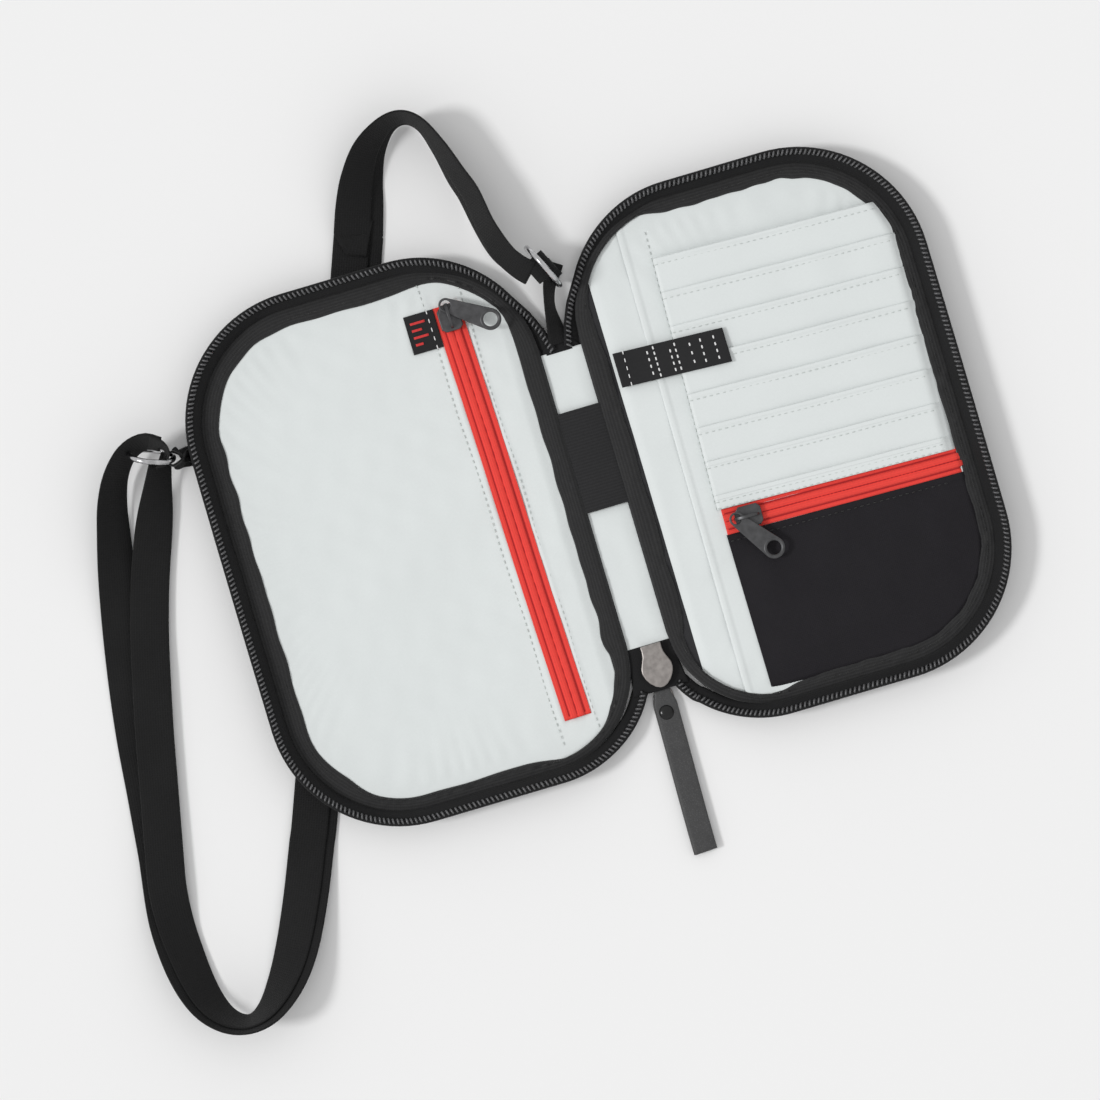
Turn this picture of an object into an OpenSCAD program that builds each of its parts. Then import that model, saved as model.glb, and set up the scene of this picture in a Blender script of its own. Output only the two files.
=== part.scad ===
// Zip-around neck pouch wallet, lying open flat like a book.
// X runs across the two halves, Y along the spine, Z up. The origin is on the underside of the
// spine panel, so everything rests on z = 0.

/* [Pouch] */
// Distance from the spine centre to the outer zip edge of one half
half_w = 141; // [130:1:150]
// Distance from the spine centre line to the top zip edge
top_y = 99.5; // [96:0.5:104]
// Radius of the outer corners
corner_r = 42; // [36:1:46]
// Distance between the two fold lines of the spine
fold_gap = 24; // [22:1:28]
// Height of one open half, to the top of its zip chain
half_h = 12; // [11.8:0.1:12.6]

/* [Zips] */
// Thickness of the main zip chain
chain_d = 2.6; // [2:0.1:2.8]
// Width of a red pocket zip
pocket_zip_w = 10; // [8:0.5:10]
// Length of the left pocket zip
left_zip_len = 157; // [140:1:160]
// Length of the right pocket zip
right_zip_len = 89; // [80:1:90]
// Length of a small puller from its eye to its end hole
puller_len = 17; // [14:0.5:18]

/* [Card panel] */
// Distance between two card pocket edges
card_pitch = 12.7; // [12:0.1:13]
// Width of a card pocket
card_w = 89; // [86:1:90]

/* [Strap] */
// Width of the neck strap
strap_w = 13.2; // [12:0.2:15]
// Thickness of the neck strap
strap_t = 0.9; // [0.7:0.1:0.9]
// Outer diameter of a strap ring
ring_d = 20; // [18:0.5:20]

/* [Hidden] */

$fn = 64;
fold_x = fold_gap / 2;
spine_half = fold_x - 1.6;     // the spine panel stops short of each fold line
inner_x = fold_x + 6;          // inner layers of a half keep clear of the folded spine
cover_t = 1.2;
foam_z = 1.4;
foam_t = 2;
lining_z = 3.75;
lining_t = 0.4;
panel_z = 4.6;
panel_t = 0.5;
tape_z = panel_z + panel_t + 0.05;
tape_t = 0.35;
coil_z = tape_z + tape_t;
coil_h = 1;
wall_z = 3.7;
cover_inset = 4.2;             // zip edge to cover edge
band_inset = 5;                // zip edge to binding
band_w = 5.5;
bottom_y = -100;
top_corner = [fold_x + 40, top_y - 46, 46];       // spine side corner arcs: x, y, radius
bottom_corner = [fold_x + 38, bottom_y + 51, 51];
layer_lift = 0.5;              // each of the two strap layers to the middle of the pair
channel_w = strap_w + 7;       // leaves room for two layers that lie a little apart sideways
channel_h = 2.4;
channel_a = [-62, 103];        // the strap passes beneath the left half along this line
channel_b = [-134.5, -87];
channel_angle = atan2(channel_b[1] - channel_a[1], channel_b[0] - channel_a[0]);

left_zip_pos = [-33.7, 0];
left_zip_turn = 1.3;
left_slider_pos = [-35.4, 73.5];
right_zip_pos = [83.5, -27];
right_zip_turn = -1.4;
right_slider_pos = [48, -26.1];
slider_z = coil_z + 0.3;
puller_z = slider_z + 3.2;
panel_turn = -2;
panel_x = 38.5;                // spine side of the card panel and of the zip pocket
card_top = 74.5;
card_foot = -18.5;             // no card pocket reaches below this
card_rise = 0.6;               // each pocket lies this much above the one before
card_t = 0.45;

ring_r = ring_d / 2 - 1;       // to the middle of the wire
wire_r = 1;
side_post = [-145.5, 52.8];    // where the side tab holds its ring
side_ring_dir = [-0.92, 0.39];
side_ring_r = ring_r - 0.8;
slider_x = 0.6;
bail_pin = [-77.6, 1.5];       // y and height of the bar that the main pull turns on
bail_wire_r = 0.6;
top_ring_pos = [2.3, 81.3, 2.7];
top_ring_angle = -64.5;        // direction of the ring's plane in plan

// Route points of the strap: x, y, height of the centre line, roll about the route in degrees
upper_route = [[-16, 114, 8.8, -60], [-18.5, 122, 8.9, -64], [-21.5, 133, 9.3, -70],
    [-25.5, 143, 9.8, -76], [-31, 147.5, 9.8, -76], [-38, 146.5, 9.2, -68],
    [-46, 140, 7.6, -50], [-51.5, 131, 5.4, -32], [-55.5, 121, 3.4, -14], [-59, 111, 1.8, -4],
    [-62, 103, 1.1, 0], [-98, 8, 1.1, 0]];
lower_route = [[-98.4, 7, 1.1, 0], [-131.3, -79.6, 1.1, 0], [-138, -96, 1.4, 2],
    [-145.6, -114, 2.6, 10], [-153.5, -130, 4.4, 22], [-161, -141, 6.4, 40],
    [-169, -148.5, 8.6, 60], [-177, -151, 9.6, 74], [-184.5, -147.5, 9.2, 66],
    [-190, -139.5, 7.8, 50], [-193.2, -127, 6, 36], [-194.2, -112, 4.2, 24]];
outer_route = [[-193.6, -96, 2.6, 10], [-192, -78, 1.6, 4], [-190.2, -60, 1, 0],
    [-188.3, -41, 0.9, 0], [-185.8, -23, 0.9, 0], [-182.6, -5, 1.2, 4], [-179.2, 13, 2.6, 14],
    [-175.4, 31, 5, 34], [-171.5, 43, 7.4, 50]];
inner_route = [[-192.4, -96, 4, 12], [-188.8, -78, 3.4, 8], [-185, -60, 3, 6],
    [-181, -41, 3, 6], [-176.8, -23, 2.6, 4], [-172.3, -5, 2, 3], [-167, 13, 2, 8],
    [-161, 28, 4, 24], [-157.6, 37, 5.6, 36]];
turn_route = [[-158.2, 61.5, 10, 88], [-154.2, 62.6, 10, 88], [-151.2, 60.8, 10, 88],
    [-150.6, 57.6, 10, 88], [-151.5, 53.6, 10, 88], [-153.2, 49, 10, 88]];

// ---- helpers ----
function arc(c, r, a0, a1, n) =
    [for (i = [0:n]) let (a = a0 + (a1 - a0) * i / n) [c[0] + r * cos(a), c[1] + r * sin(a)]];
// Edge of one half in plan, from the top of the spine side round to its bottom
function edge(inset, a_top, a_bottom) = concat(
    arc(top_corner, top_corner[2] - inset, a_top, 90, 8),
    arc([half_w - corner_r, top_y - corner_r], corner_r - inset, 90, 0, 8),
    arc([half_w - corner_r, bottom_y + corner_r], corner_r - inset, 0, -90, 8),
    arc(bottom_corner, bottom_corner[2] - inset, -90, -a_bottom, 8));
function smooth(t) = let (u = min(max(t, 0), 1)) u * u * (3 - 2 * u);
// Height of the zip edge, which falls towards the spine
function rim_z(x) = 5.2 + (half_h - 2.7 - 5.2) * smooth((x - 18) / 24);
function unit(v) = v / norm(v);
function loop_faces(rings, sides) = concat(
    [for (i = [0:rings - 2], j = [0:sides - 1]) let (k = (j + 1) % sides)
        [i * sides + j, i * sides + k, (i + 1) * sides + k, (i + 1) * sides + j]],
    [[for (j = [sides - 1:-1:0]) j]],
    [[for (j = [0:sides - 1]) (rings - 1) * sides + j]]);
function heading(p, i) = let (a = p[max(i - 1, 0)], b = p[min(i + 1, len(p) - 1)])
    unit([b[0] - a[0], b[1] - a[1], 0]);

module half_plate(inset, x_min, t) {
    points = edge(inset, 179, 179);
    linear_extrude(t) intersection() {
        polygon(points);
        translate([x_min, -120]) square([half_w, 240]);
    }
}

// A ring between two insets, open towards the spine
module half_band(inset, w, x_min, t) {
    linear_extrude(t) intersection() {
        difference() {
            polygon(edge(inset, 179, 179));
            polygon(edge(inset + w, 179, 179));
        }
        translate([x_min, -120]) square([half_w, 240]);
    }
}

module zip_tape() {
    foot = edge(cover_inset + 0.8, 135, 127);
    rim = edge(chain_d / 2 + 0.5, 135, 127);
    n = len(foot);
    rings = [for (i = [0:n - 1]) each [
        [foot[i][0], foot[i][1], wall_z],
        [rim[i][0], rim[i][1], rim_z(rim[i][0])],
        [rim[i][0] - heading(rim, i)[1] * -0.7, rim[i][1] - heading(rim, i)[0] * 0.7,
            rim_z(rim[i][0])],
        [foot[i][0] - heading(foot, i)[1] * -0.7, foot[i][1] - heading(foot, i)[0] * 0.7,
            wall_z]]];
    polyhedron(rings, loop_faces(n, 4), 4);
}

module zip_chain() {
    mid = edge(chain_d / 2, 135, 127);
    n = len(mid);
    rings = [for (i = [0:n - 1]) let (h = heading(mid, i)) each
        [for (j = [0:7]) let (a = 360 * j / 8) [
            mid[i][0] + h[1] * cos(a) * chain_d / 2, mid[i][1] - h[0] * cos(a) * chain_d / 2,
            rim_z(mid[i][0]) + chain_d / 2 + 0.05 + sin(a) * chain_d / 2]]];
    polyhedron(rings, loop_faces(n, 8), 4);
}

// Flat band swept along a route; lift moves it along its own face normal
module ribbon(route, w, lift) {
    rings = [for (i = [0:len(route) - 1]) let (
            h = heading(route, i), roll = route[i][3], side = [-h[1], h[0], 0],
            across = side * cos(roll) + [0, 0, sin(roll)],
            up = [0, 0, cos(roll)] - side * sin(roll),
            c = [route[i][0], route[i][1], route[i][2]] + up * lift) each [
        c - across * w / 2 - up * strap_t / 2, c + across * w / 2 - up * strap_t / 2,
        c + across * w / 2 + up * strap_t / 2, c - across * w / 2 + up * strap_t / 2]];
    polyhedron(rings, loop_faces(len(route), 4), 4);
}

module channel_bar(w, h, z) {
    translate([channel_a[0], channel_a[1], z]) rotate(channel_angle)
        translate([-30, -w / 2, 0]) cube([280, w, h]);
}

module zip_slider_body() {
    difference() {
        union() {
            translate([-4, -5, 0]) cube([8, 10, 2.2]);
            translate([0, 4.6, 2.1]) cylinder(h = 2.6, r = 0.8);
            translate([-0.8, -4.6, 2.1]) cube([1.6, 1.6, 2.6]);
            translate([-0.8, -4.6, 4.5]) cube([1.6, 10, 0.8]);
        }
        translate([-1.8, -6, -1]) cube([3.6, 12, 2.2]);
    }
}

// Puller with its eye at the origin, pointing along +X
module zip_puller() {
    difference() {
        union() {
            cylinder(h = 0.9, r = 3);
            translate([0, -2.2, 0]) cube([puller_len, 4.4, 0.9]);
            translate([puller_len, 0, 0]) cylinder(h = 0.9, r = 4);
        }
        translate([0, 0, -1]) cylinder(h = 3, r = 1.8);
        translate([puller_len, 0, -1]) cylinder(h = 3, r = 2.6);
    }
}

module pocket_tape(len_y, w) {
    translate([-w / 2, -len_y / 2, tape_z]) cube([w, len_y, tape_t]);
}

module pocket_coil(len_y) {
    translate([-1.4, -len_y / 2 + 3, coil_z]) cube([2.8, len_y - 6, coil_h]);
}

module pocket_stops(len_y) {
    for (s = [-1, 1]) translate([-1.5, s * (len_y / 2 - 1.6) - 1, coil_z]) cube([3, 2, 1.2]);
}

module card_slot(k) {
    top = card_top - (k - 1) * card_pitch;
    depth = min(3 * card_pitch, top - card_foot);
    slope = asin(card_rise / card_pitch);
    z = tape_z + (3 * card_pitch - depth) * sin(slope);
    color("lightgray") rotate([0, 0, panel_turn]) translate([panel_x, top - depth, z])
        rotate([slope, 0, 0]) cube([card_w, depth, card_t]);
}

// ---- left half ----
module cover_shape() {
    difference() {
        union() {
            half_plate(cover_inset, fold_x + 0.3, cover_t);
            mirror([1, 0, 0]) intersection() {
                channel_bar(channel_w + 3, 3.4, 0);
                mirror([1, 0, 0]) half_plate(cover_inset, fold_x + 0.3, 3.4);
            }
        }
        mirror([1, 0, 0]) channel_bar(channel_w, channel_h + 1, -1);
    }
}

module back_cover() {
    color("dimgray") mirror([1, 0, 0]) cover_shape();
}

module back_foam() {
    color("gray") difference() {
        mirror([1, 0, 0]) translate([0, 0, foam_z]) half_plate(cover_inset + 4, inner_x, foam_t);
        channel_bar(channel_w + 4, 6, 0);
        translate([-140, 46, 0]) cube([16, 14, 6]);
    }
}

module left_lining() {
    color("lightgray") mirror([1, 0, 0]) translate([0, 0, lining_z])
        half_plate(cover_inset + 2.2, inner_x, lining_t);
}

module left_zip_tape() {
    color("black") mirror([1, 0, 0]) zip_tape();
}

module left_zip_chain() {
    color("black") mirror([1, 0, 0]) zip_chain();
}

module left_binding() {
    color("dimgray") mirror([1, 0, 0]) translate([0, 0, panel_z + 0.6])
        half_band(band_inset + 1.4, band_w - 1.4, inner_x, 0.9);
}

module left_pocket_panel() {
    color("lightgray") difference() {
        mirror([1, 0, 0]) translate([0, 0, panel_z])
            half_plate(cover_inset + 2.8, inner_x, panel_t);
        translate([left_zip_pos[0], left_zip_pos[1], 0]) rotate(left_zip_turn)
            translate([-3, -left_zip_len / 2 + 3, 0]) cube([6, left_zip_len - 6, 9]);
    }
}

module left_pocket_tape() {
    color("red") translate(left_zip_pos) rotate(left_zip_turn)
        pocket_tape(left_zip_len, pocket_zip_w);
}

module left_pocket_coil() {
    color("red") translate(left_zip_pos) rotate(left_zip_turn) pocket_coil(left_zip_len);
}

module left_pocket_stops() {
    color("silver") translate(left_zip_pos) rotate(left_zip_turn) pocket_stops(left_zip_len);
}

module shield_tag() {
    color("black") translate([-51.6, 63.9, tape_z]) cube([10.4, 14.2, 0.7]);
}

module side_tab() {
    color("black") {
        translate([-142.6, 49.6, 1.5]) cube([10, 6.4, 1.7]);
        translate([-143.8, 49.6, 1.5]) cube([1.3, 6.4, 12]);
        translate([side_post[0], side_post[1], 7]) difference() {
            cylinder(h = 6.2, r = 2.7);
            translate([0, 0, -1]) cylinder(h = 9, r = 2);
        }
    }
}

module strap_upper_front() {
    color("black") ribbon(upper_route, strap_w, layer_lift);
}

module strap_upper_back() {
    color("black") ribbon(upper_route, strap_w, -layer_lift);
}

module strap_lower_outer() {
    color("black") ribbon(concat(lower_route, outer_route), strap_w, -layer_lift);
}

module strap_lower_inner() {
    color("black") ribbon(concat(lower_route, inner_route), strap_w, layer_lift);
}

// ---- spine ----
module spine_cover() {
    color("dimgray") translate([-spine_half, -74, 0]) cube([2 * spine_half, 129, cover_t]);
}

module spine_lining() {
    color("lightgray") translate([-7.6, -60, foam_z]) cube([15.2, 111, 0.6]);
}

module spine_bindings() {
    color("dimgray") for (s = [-1, 1]) translate([s * 9.1 - 1.3, -60, foam_z])
        cube([2.6, 111, 1.2]);
}

module pen_loop() {
    color("black") translate([0, 28.8, 2.1]) rotate([90, 0, 0]) linear_extrude(37.5)
        difference() {
            translate([-7.6, 0]) square([15.2, 1.9]);
            translate([-5.6, 0.35]) square([11.2, 1]);
        }
}

// Two short runs of zip chain that close in a V on the spine
module zip_vee(y_in, x_in, y_out) {
    for (s = [-1, 1]) hull() {
        translate([s * x_in, y_in, 3.2]) sphere(r = chain_d / 2 - 0.1, $fn = 20);
        translate([s * 9, y_out, 3.2]) sphere(r = chain_d / 2 - 0.1, $fn = 20);
    }
}

module zip_top_ends() {
    color("black") zip_vee(53, 2, 68);
}

module zip_bottom_ends() {
    color("black") zip_vee(-77.9, 5.2, -81.5);
}

module main_slider() {
    color("silver") translate([slider_x, 0, 0]) {
        translate([0, -61, 3.9]) linear_extrude(1) slider_shape();
        translate([0, -61, 1.4]) linear_extrude(0.8) slider_shape();
        translate([-1.4, -66, 1.9]) cube([2.8, 4.6, 2.4]);
        // lug that holds the bail's round bar
        difference() {
            translate([-1.2, bail_pin[0] - 1.5, bail_pin[1] - 1.3]) cube([2.4, 3.5, 2.6]);
            translate([-3, bail_pin[0], bail_pin[1]]) rotate([0, 90, 0])
                cylinder(h = 6, r = bail_wire_r + 0.3);
        }
    }
}

module slider_shape() {
    polygon([[-3.6, 0], [3.6, 0], [4, -3], [5.8, -7.4], [5.4, -11.5], [2.6, -15.2],
        [-2.6, -15.2], [-5.4, -11.5], [-5.8, -7.4], [-4, -3]]);
}

module pull_bail() {
    color("silver") translate([slider_x, bail_pin[0], bail_pin[1]]) {
        rotate([0, 90, 0]) cylinder(h = 6, r = bail_wire_r, center = true);
        for (s = [-1, 1]) translate([s * 2.5 - 0.5, -5.6, -bail_wire_r])
            cube([1, 5.6, 2 * bail_wire_r]);
        translate([-3, -6.5, -bail_wire_r]) cube([6, 1.2, 2 * bail_wire_r]);
    }
}

module leather_pull() {
    color("dimgray") translate([-5.4, -139, 0.3]) cube([8.4, 57.8, 2.4]);
}

module pull_rivet() {
    color("black") translate([-0.8, -86, 2.75]) intersection() {
        translate([0, 0, -2.2]) sphere(r = 3.4);
        cylinder(h = 3, r = 2.6);
    }
}

// ---- right half ----
module front_cover() {
    color("dimgray") half_plate(cover_inset, fold_x + 0.3, cover_t);
}

module front_foam() {
    color("gray") translate([0, 0, foam_z]) half_plate(cover_inset + 4, inner_x, foam_t);
}

module right_lining() {
    color("lightgray") translate([0, 0, lining_z])
        half_plate(cover_inset + 2.2, inner_x, lining_t);
}

module right_zip_tape() {
    color("black") zip_tape();
}

module right_zip_chain() {
    color("black") zip_chain();
}

module right_binding() {
    color("dimgray") translate([0, 0, panel_z + 0.6])
        half_band(band_inset + 1.4, band_w - 1.4, inner_x, 0.9);
}

module slip_panel() {
    color("lightgray") translate([0, 0, panel_z]) half_plate(cover_inset + 2.8, 30, panel_t);
}

module card_slot_1() { card_slot(1); }
module card_slot_2() { card_slot(2); }
module card_slot_3() { card_slot(3); }
module card_slot_4() { card_slot(4); }
module card_slot_5() { card_slot(5); }
module card_slot_6() { card_slot(6); }
module card_slot_7() { card_slot(7); }
module card_slot_8() { card_slot(8); }

module right_pocket_tape() {
    color("red") translate(right_zip_pos) rotate(90 + right_zip_turn)
        pocket_tape(right_zip_len, pocket_zip_w - 0.5);
}

module right_pocket_coil() {
    color("red") translate(right_zip_pos) rotate(90 + right_zip_turn)
        pocket_coil(right_zip_len);
}

module right_pocket_stops() {
    color("silver") translate(right_zip_pos) rotate(90 + right_zip_turn)
        pocket_stops(right_zip_len);
}

module zip_pocket_panel() {
    color("black") translate([0, 0, tape_z]) linear_extrude(panel_t) intersection() {
        polygon(edge(cover_inset + 6.6, 179, 179));
        rotate(right_zip_turn) translate([panel_x, bottom_y]) square([card_w, 70]);
    }
}

module care_label() {
    color("black") translate([18.5, 31, 7.75]) rotate(-3) cube([40, 12.6, 0.3]);
}

// ---- sliders and pullers ----
module left_slider() {
    color("dimgray") translate([left_slider_pos[0], left_slider_pos[1], slider_z])
        rotate(left_zip_turn) zip_slider_body();
}

module left_puller() {
    color("dimgray") translate([left_slider_pos[0], left_slider_pos[1], puller_z])
        rotate(left_zip_turn) translate([0, 4.6, 0]) rotate(-35) zip_puller();
}

module right_slider() {
    color("dimgray") translate([right_slider_pos[0], right_slider_pos[1], slider_z])
        rotate(90 + right_zip_turn) zip_slider_body();
}

module right_puller() {
    color("dimgray") translate([right_slider_pos[0], right_slider_pos[1], puller_z])
        rotate(90 + right_zip_turn) translate([0, 4.6, 0]) rotate(-142) zip_puller();
}

// ---- rings and strap ends ----
module wire_ring(r) {
    rotate([90, 0, 0]) rotate_extrude() translate([r, 0]) circle(r = wire_r, $fn = 24);
}

module side_ring() {
    color("silver") translate([side_post[0] + side_ring_dir[0] * side_ring_r,
        side_post[1] + side_ring_dir[1] * side_ring_r, 10])
        rotate(atan2(side_ring_dir[1], side_ring_dir[0])) wire_ring(side_ring_r);
}

module strap_turn() {
    color("black") ribbon(turn_route, 11, 0);
}

module top_tab() {
    color("black") {
        translate([-2, 58, 1.3]) cube([4, 15.5, 0.9]);
        translate([-2, 73, 1.3]) cube([3.4, 6.2, 0.9]);
        translate(top_ring_pos) rotate(top_ring_angle) rotate([0, 90, 0])
            translate([0, 0, -3.5]) difference() {
                cylinder(h = 7, r = 2.6);
                translate([0, 0, -1]) cylinder(h = 9, r = 1.95);
            }
    }
}

module top_ring() {
    color("silver") translate(top_ring_pos) translate([0, 0, ring_r])
        rotate(top_ring_angle) wire_ring(ring_r);
}

module strap_sewn_end() {
    color("black") translate(top_ring_pos) rotate(top_ring_angle)
        translate([-6.5, -3.4, 16.4]) cube([10, 5.2, 3]);
}

module strap_adjuster() {
    color("black") translate([channel_a[0], channel_a[1], 0.3]) rotate(channel_angle)
        translate([136.3, -9.2, 0]) difference() {
            cube([10, 18.4, 1.8]);
            for (x = [1.2, 5.6]) translate([x, 0.8, -1]) cube([3.2, 16.8, 4]);
        }
}

back_cover();
back_foam();
left_lining();
left_zip_tape();
left_zip_chain();
left_binding();
left_pocket_panel();
left_pocket_tape();
left_pocket_coil();
left_pocket_stops();
shield_tag();
side_tab();
strap_upper_front();
strap_upper_back();
strap_lower_outer();
strap_lower_inner();
spine_cover();
spine_lining();
spine_bindings();
pen_loop();
zip_top_ends();
zip_bottom_ends();
main_slider();
pull_bail();
leather_pull();
pull_rivet();
front_cover();
front_foam();
right_lining();
right_zip_tape();
right_zip_chain();
right_binding();
slip_panel();
card_slot_1();
card_slot_2();
card_slot_3();
card_slot_4();
card_slot_5();
card_slot_6();
card_slot_7();
card_slot_8();
right_pocket_tape();
right_pocket_coil();
right_pocket_stops();
zip_pocket_panel();
care_label();
left_slider();
left_puller();
right_slider();
right_puller();
side_ring();
strap_turn();
top_tab();
top_ring();
strap_sewn_end();
strap_adjuster();
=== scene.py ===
"""Looks of the zip-around neck pouch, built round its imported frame.

Shapes are worked out in millimetres as numpy grids and written to meshes in metres. One half of the
pouch is described with positive x and mirrored for the other half.
"""

import logging
import math
from dataclasses import dataclass
from enum import Enum

import bmesh
import bpy
import numpy as np
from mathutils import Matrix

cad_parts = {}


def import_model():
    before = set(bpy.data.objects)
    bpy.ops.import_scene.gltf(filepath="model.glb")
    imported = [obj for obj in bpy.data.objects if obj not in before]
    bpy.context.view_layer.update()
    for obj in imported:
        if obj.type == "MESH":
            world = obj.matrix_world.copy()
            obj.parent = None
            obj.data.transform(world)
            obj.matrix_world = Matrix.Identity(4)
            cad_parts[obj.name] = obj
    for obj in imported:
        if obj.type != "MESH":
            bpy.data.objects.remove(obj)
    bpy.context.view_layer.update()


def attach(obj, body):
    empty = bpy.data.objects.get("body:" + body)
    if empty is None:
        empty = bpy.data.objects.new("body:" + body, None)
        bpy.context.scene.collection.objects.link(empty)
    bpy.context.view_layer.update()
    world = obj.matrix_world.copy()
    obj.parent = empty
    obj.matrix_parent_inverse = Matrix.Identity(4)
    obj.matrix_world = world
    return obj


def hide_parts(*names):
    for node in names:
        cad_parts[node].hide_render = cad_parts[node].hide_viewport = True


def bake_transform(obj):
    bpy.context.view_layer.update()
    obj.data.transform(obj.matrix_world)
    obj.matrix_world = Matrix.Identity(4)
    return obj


LOG = logging.getLogger("neck_pouch")
MM = 0.001
TAU = 2 * math.pi
Array = np.ndarray
MATERIALS: dict[str, bpy.types.Material] = {}


class Side(Enum):
    """The two halves of the pouch, with the sign of their x."""

    LEFT = -1
    RIGHT = 1

    @property
    def body(self) -> str:
        """Name of the CAD body of this half."""
        return "left_half" if self is Side.LEFT else "right_half"

    @property
    def word(self) -> str:
        """Prefix of the piece names of this half."""
        return "left" if self is Side.LEFT else "right"


# ---------------------------------------------------------------- numbers


def smooth(t: Array | float) -> Array:
    """Smooth step from 0 to 1: 3t^2 - 2t^3 with t held between 0 and 1."""
    t = np.clip(t, 0.0, 1.0)
    return t * t * (3 - 2 * t)


def ripple(x: Array, y: Array, seed: int, wave: float, size: float) -> Array:
    """Gentle uneven surface: the sum of six sine waves that run in seeded directions.

    Args:
        x, y: places in millimetres.
        seed: picks the directions and phases.
        wave: middle wavelength in millimetres.
        size: rough height in millimetres.
    """
    rng = np.random.default_rng(seed)
    total = np.zeros(np.broadcast(x, y).shape)
    for _ in range(6):
        turn, phase, stretch = rng.uniform(0, TAU), rng.uniform(0, TAU), rng.uniform(0.6, 1.7)
        total += np.sin(TAU / (wave * stretch) * (x * np.cos(turn) + y * np.sin(turn)) + phase)
    return size * total / 2.4


def through(route: Array, count: int) -> Array:
    """Smooth curve through route points, one Catmull-Rom cubic a span, evenly spaced by length.

    Args:
        route: (k, d) points; all columns are carried along.
        count: how many points to return.
    """
    p = np.vstack([2 * route[0] - route[1], route, 2 * route[-1] - route[-2]])
    t = np.linspace(0, 1, 24, endpoint=False)[:, None]
    spans = [
        0.5 * (2 * b + (c - a) * t + (2 * a - 5 * b + 4 * c - d) * t**2
               + (3 * b - a - 3 * c + d) * t**3)
        for a, b, c, d in zip(p[:-3], p[1:-2], p[2:-1], p[3:])
    ]
    return evenly(np.vstack(spans + [route[-1:]]), count)


def evenly(line: Array, count: int) -> Array:
    """Resamples a line to points evenly spaced along its length."""
    steps = np.linalg.norm(np.diff(line[:, :3], axis=0), axis=1)
    along = np.concatenate([[0], np.cumsum(steps)])
    target = np.linspace(0, along[-1], count)
    return np.stack([np.interp(target, along, line[:, k]) for k in range(line.shape[1])], 1)


def length_of(line: Array) -> float:
    """Length of a line of points."""
    return float(np.linalg.norm(np.diff(line[:, :3], axis=0), axis=1).sum())


def arc(cx: float, cy: float, r: float, a0: float, a1: float, count: int = 24) -> Array:
    """Points on a circle from angle a0 to a1, in degrees."""
    a = np.radians(np.linspace(a0, a1, count))
    return np.stack([cx + r * np.cos(a), cy + r * np.sin(a)], 1)


def circle(count: int) -> Array:
    """Angles of that many points spread round a circle, in radians."""
    return np.linspace(0, TAU, count, endpoint=False)


def squared(wave: Array, power: float) -> Array:
    """A sine or cosine raised to a small power, which makes a round section squarer."""
    return np.sign(wave) * np.abs(wave) ** power


def unit(vectors: Array) -> Array:
    """Rows of an (n, d) array at length 1."""
    return vectors / np.linalg.norm(vectors, axis=1, keepdims=True)


def points(*parts: Array | float) -> Array:
    """Points with these coordinates, stretched to a common shape."""
    return np.stack(np.broadcast_arrays(*parts), -1)


def raised(plan: Array, z: Array | float) -> Array:
    """Points with one more coordinate."""
    return np.concatenate([plan, np.broadcast_to(z, plan.shape[:-1])[..., None]], -1)


def lattice(x: tuple[float, float, int], y: tuple[float, float, int]) -> list[Array]:
    """Both coordinates of a grid, each given as its start, end and count."""
    return np.meshgrid(np.linspace(*x), np.linspace(*y), indexing="ij")


def spin(x: Array | float, y: Array | float, turn: float, origin: tuple = (0.0, 0.0)
         ) -> tuple[Array, Array]:
    """Plan points turned by an angle in degrees and then moved to an origin."""
    c, s = math.cos(math.radians(turn)), math.sin(math.radians(turn))
    return origin[0] + x * c - y * s, origin[1] + x * s + y * c


def plan_normals(line: Array, closed: bool = False) -> Array:
    """Unit normals to the right of a plan line, from central differences."""
    if closed:
        d = np.roll(line, -1, 0) - np.roll(line, 1, 0)
    else:
        d = np.gradient(line, axis=0)
    return unit(points(d[:, 1], -d[:, 0]))


# ---------------------------------------------------------------- meshes


def linked(name: str, data: bpy.types.ID) -> bpy.types.Object:
    """New object of a mesh, curve, light or camera, linked into the scene."""
    obj = bpy.data.objects.new(name, data)
    bpy.context.scene.collection.objects.link(obj)
    return obj


def make_object(name: str, verts: Array, faces: Array | list, uv: Array | None = None,
                outward: bool = False, flat: bool = False) -> bpy.types.Object:
    """Makes an object from points in millimetres.

    Args:
        name: piece name.
        verts: (n, 3) points.
        faces: quads as an (m, 4) array, or a list of faces.
        uv: (n, 2) surface coordinates in millimetres.
        outward: turn the faces of a closed shell outwards.
        flat: leave the faces flat shaded.
    Returns:
        The linked object, at the origin.
    """
    mesh = bpy.data.meshes.new(name)
    face_list = faces.tolist() if isinstance(faces, np.ndarray) else faces
    mesh.from_pydata((np.asarray(verts) * MM).tolist(), [], face_list)
    if uv is not None:
        layer = mesh.uv_layers.new(name="UVMap")
        index = np.empty(len(mesh.loops), dtype=np.int32)
        mesh.loops.foreach_get("vertex_index", index)
        layer.data.foreach_set("uv", (np.asarray(uv)[index] * MM).astype(np.float32).ravel())
    if outward:
        bm = bmesh.new()
        bm.from_mesh(mesh)
        bmesh.ops.recalc_face_normals(bm, faces=bm.faces)
        bm.to_mesh(mesh)
        bm.free()
    mesh.polygons.foreach_set("use_smooth", np.full(len(mesh.polygons), not flat))
    mesh.update()
    return linked(name, mesh)


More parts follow.
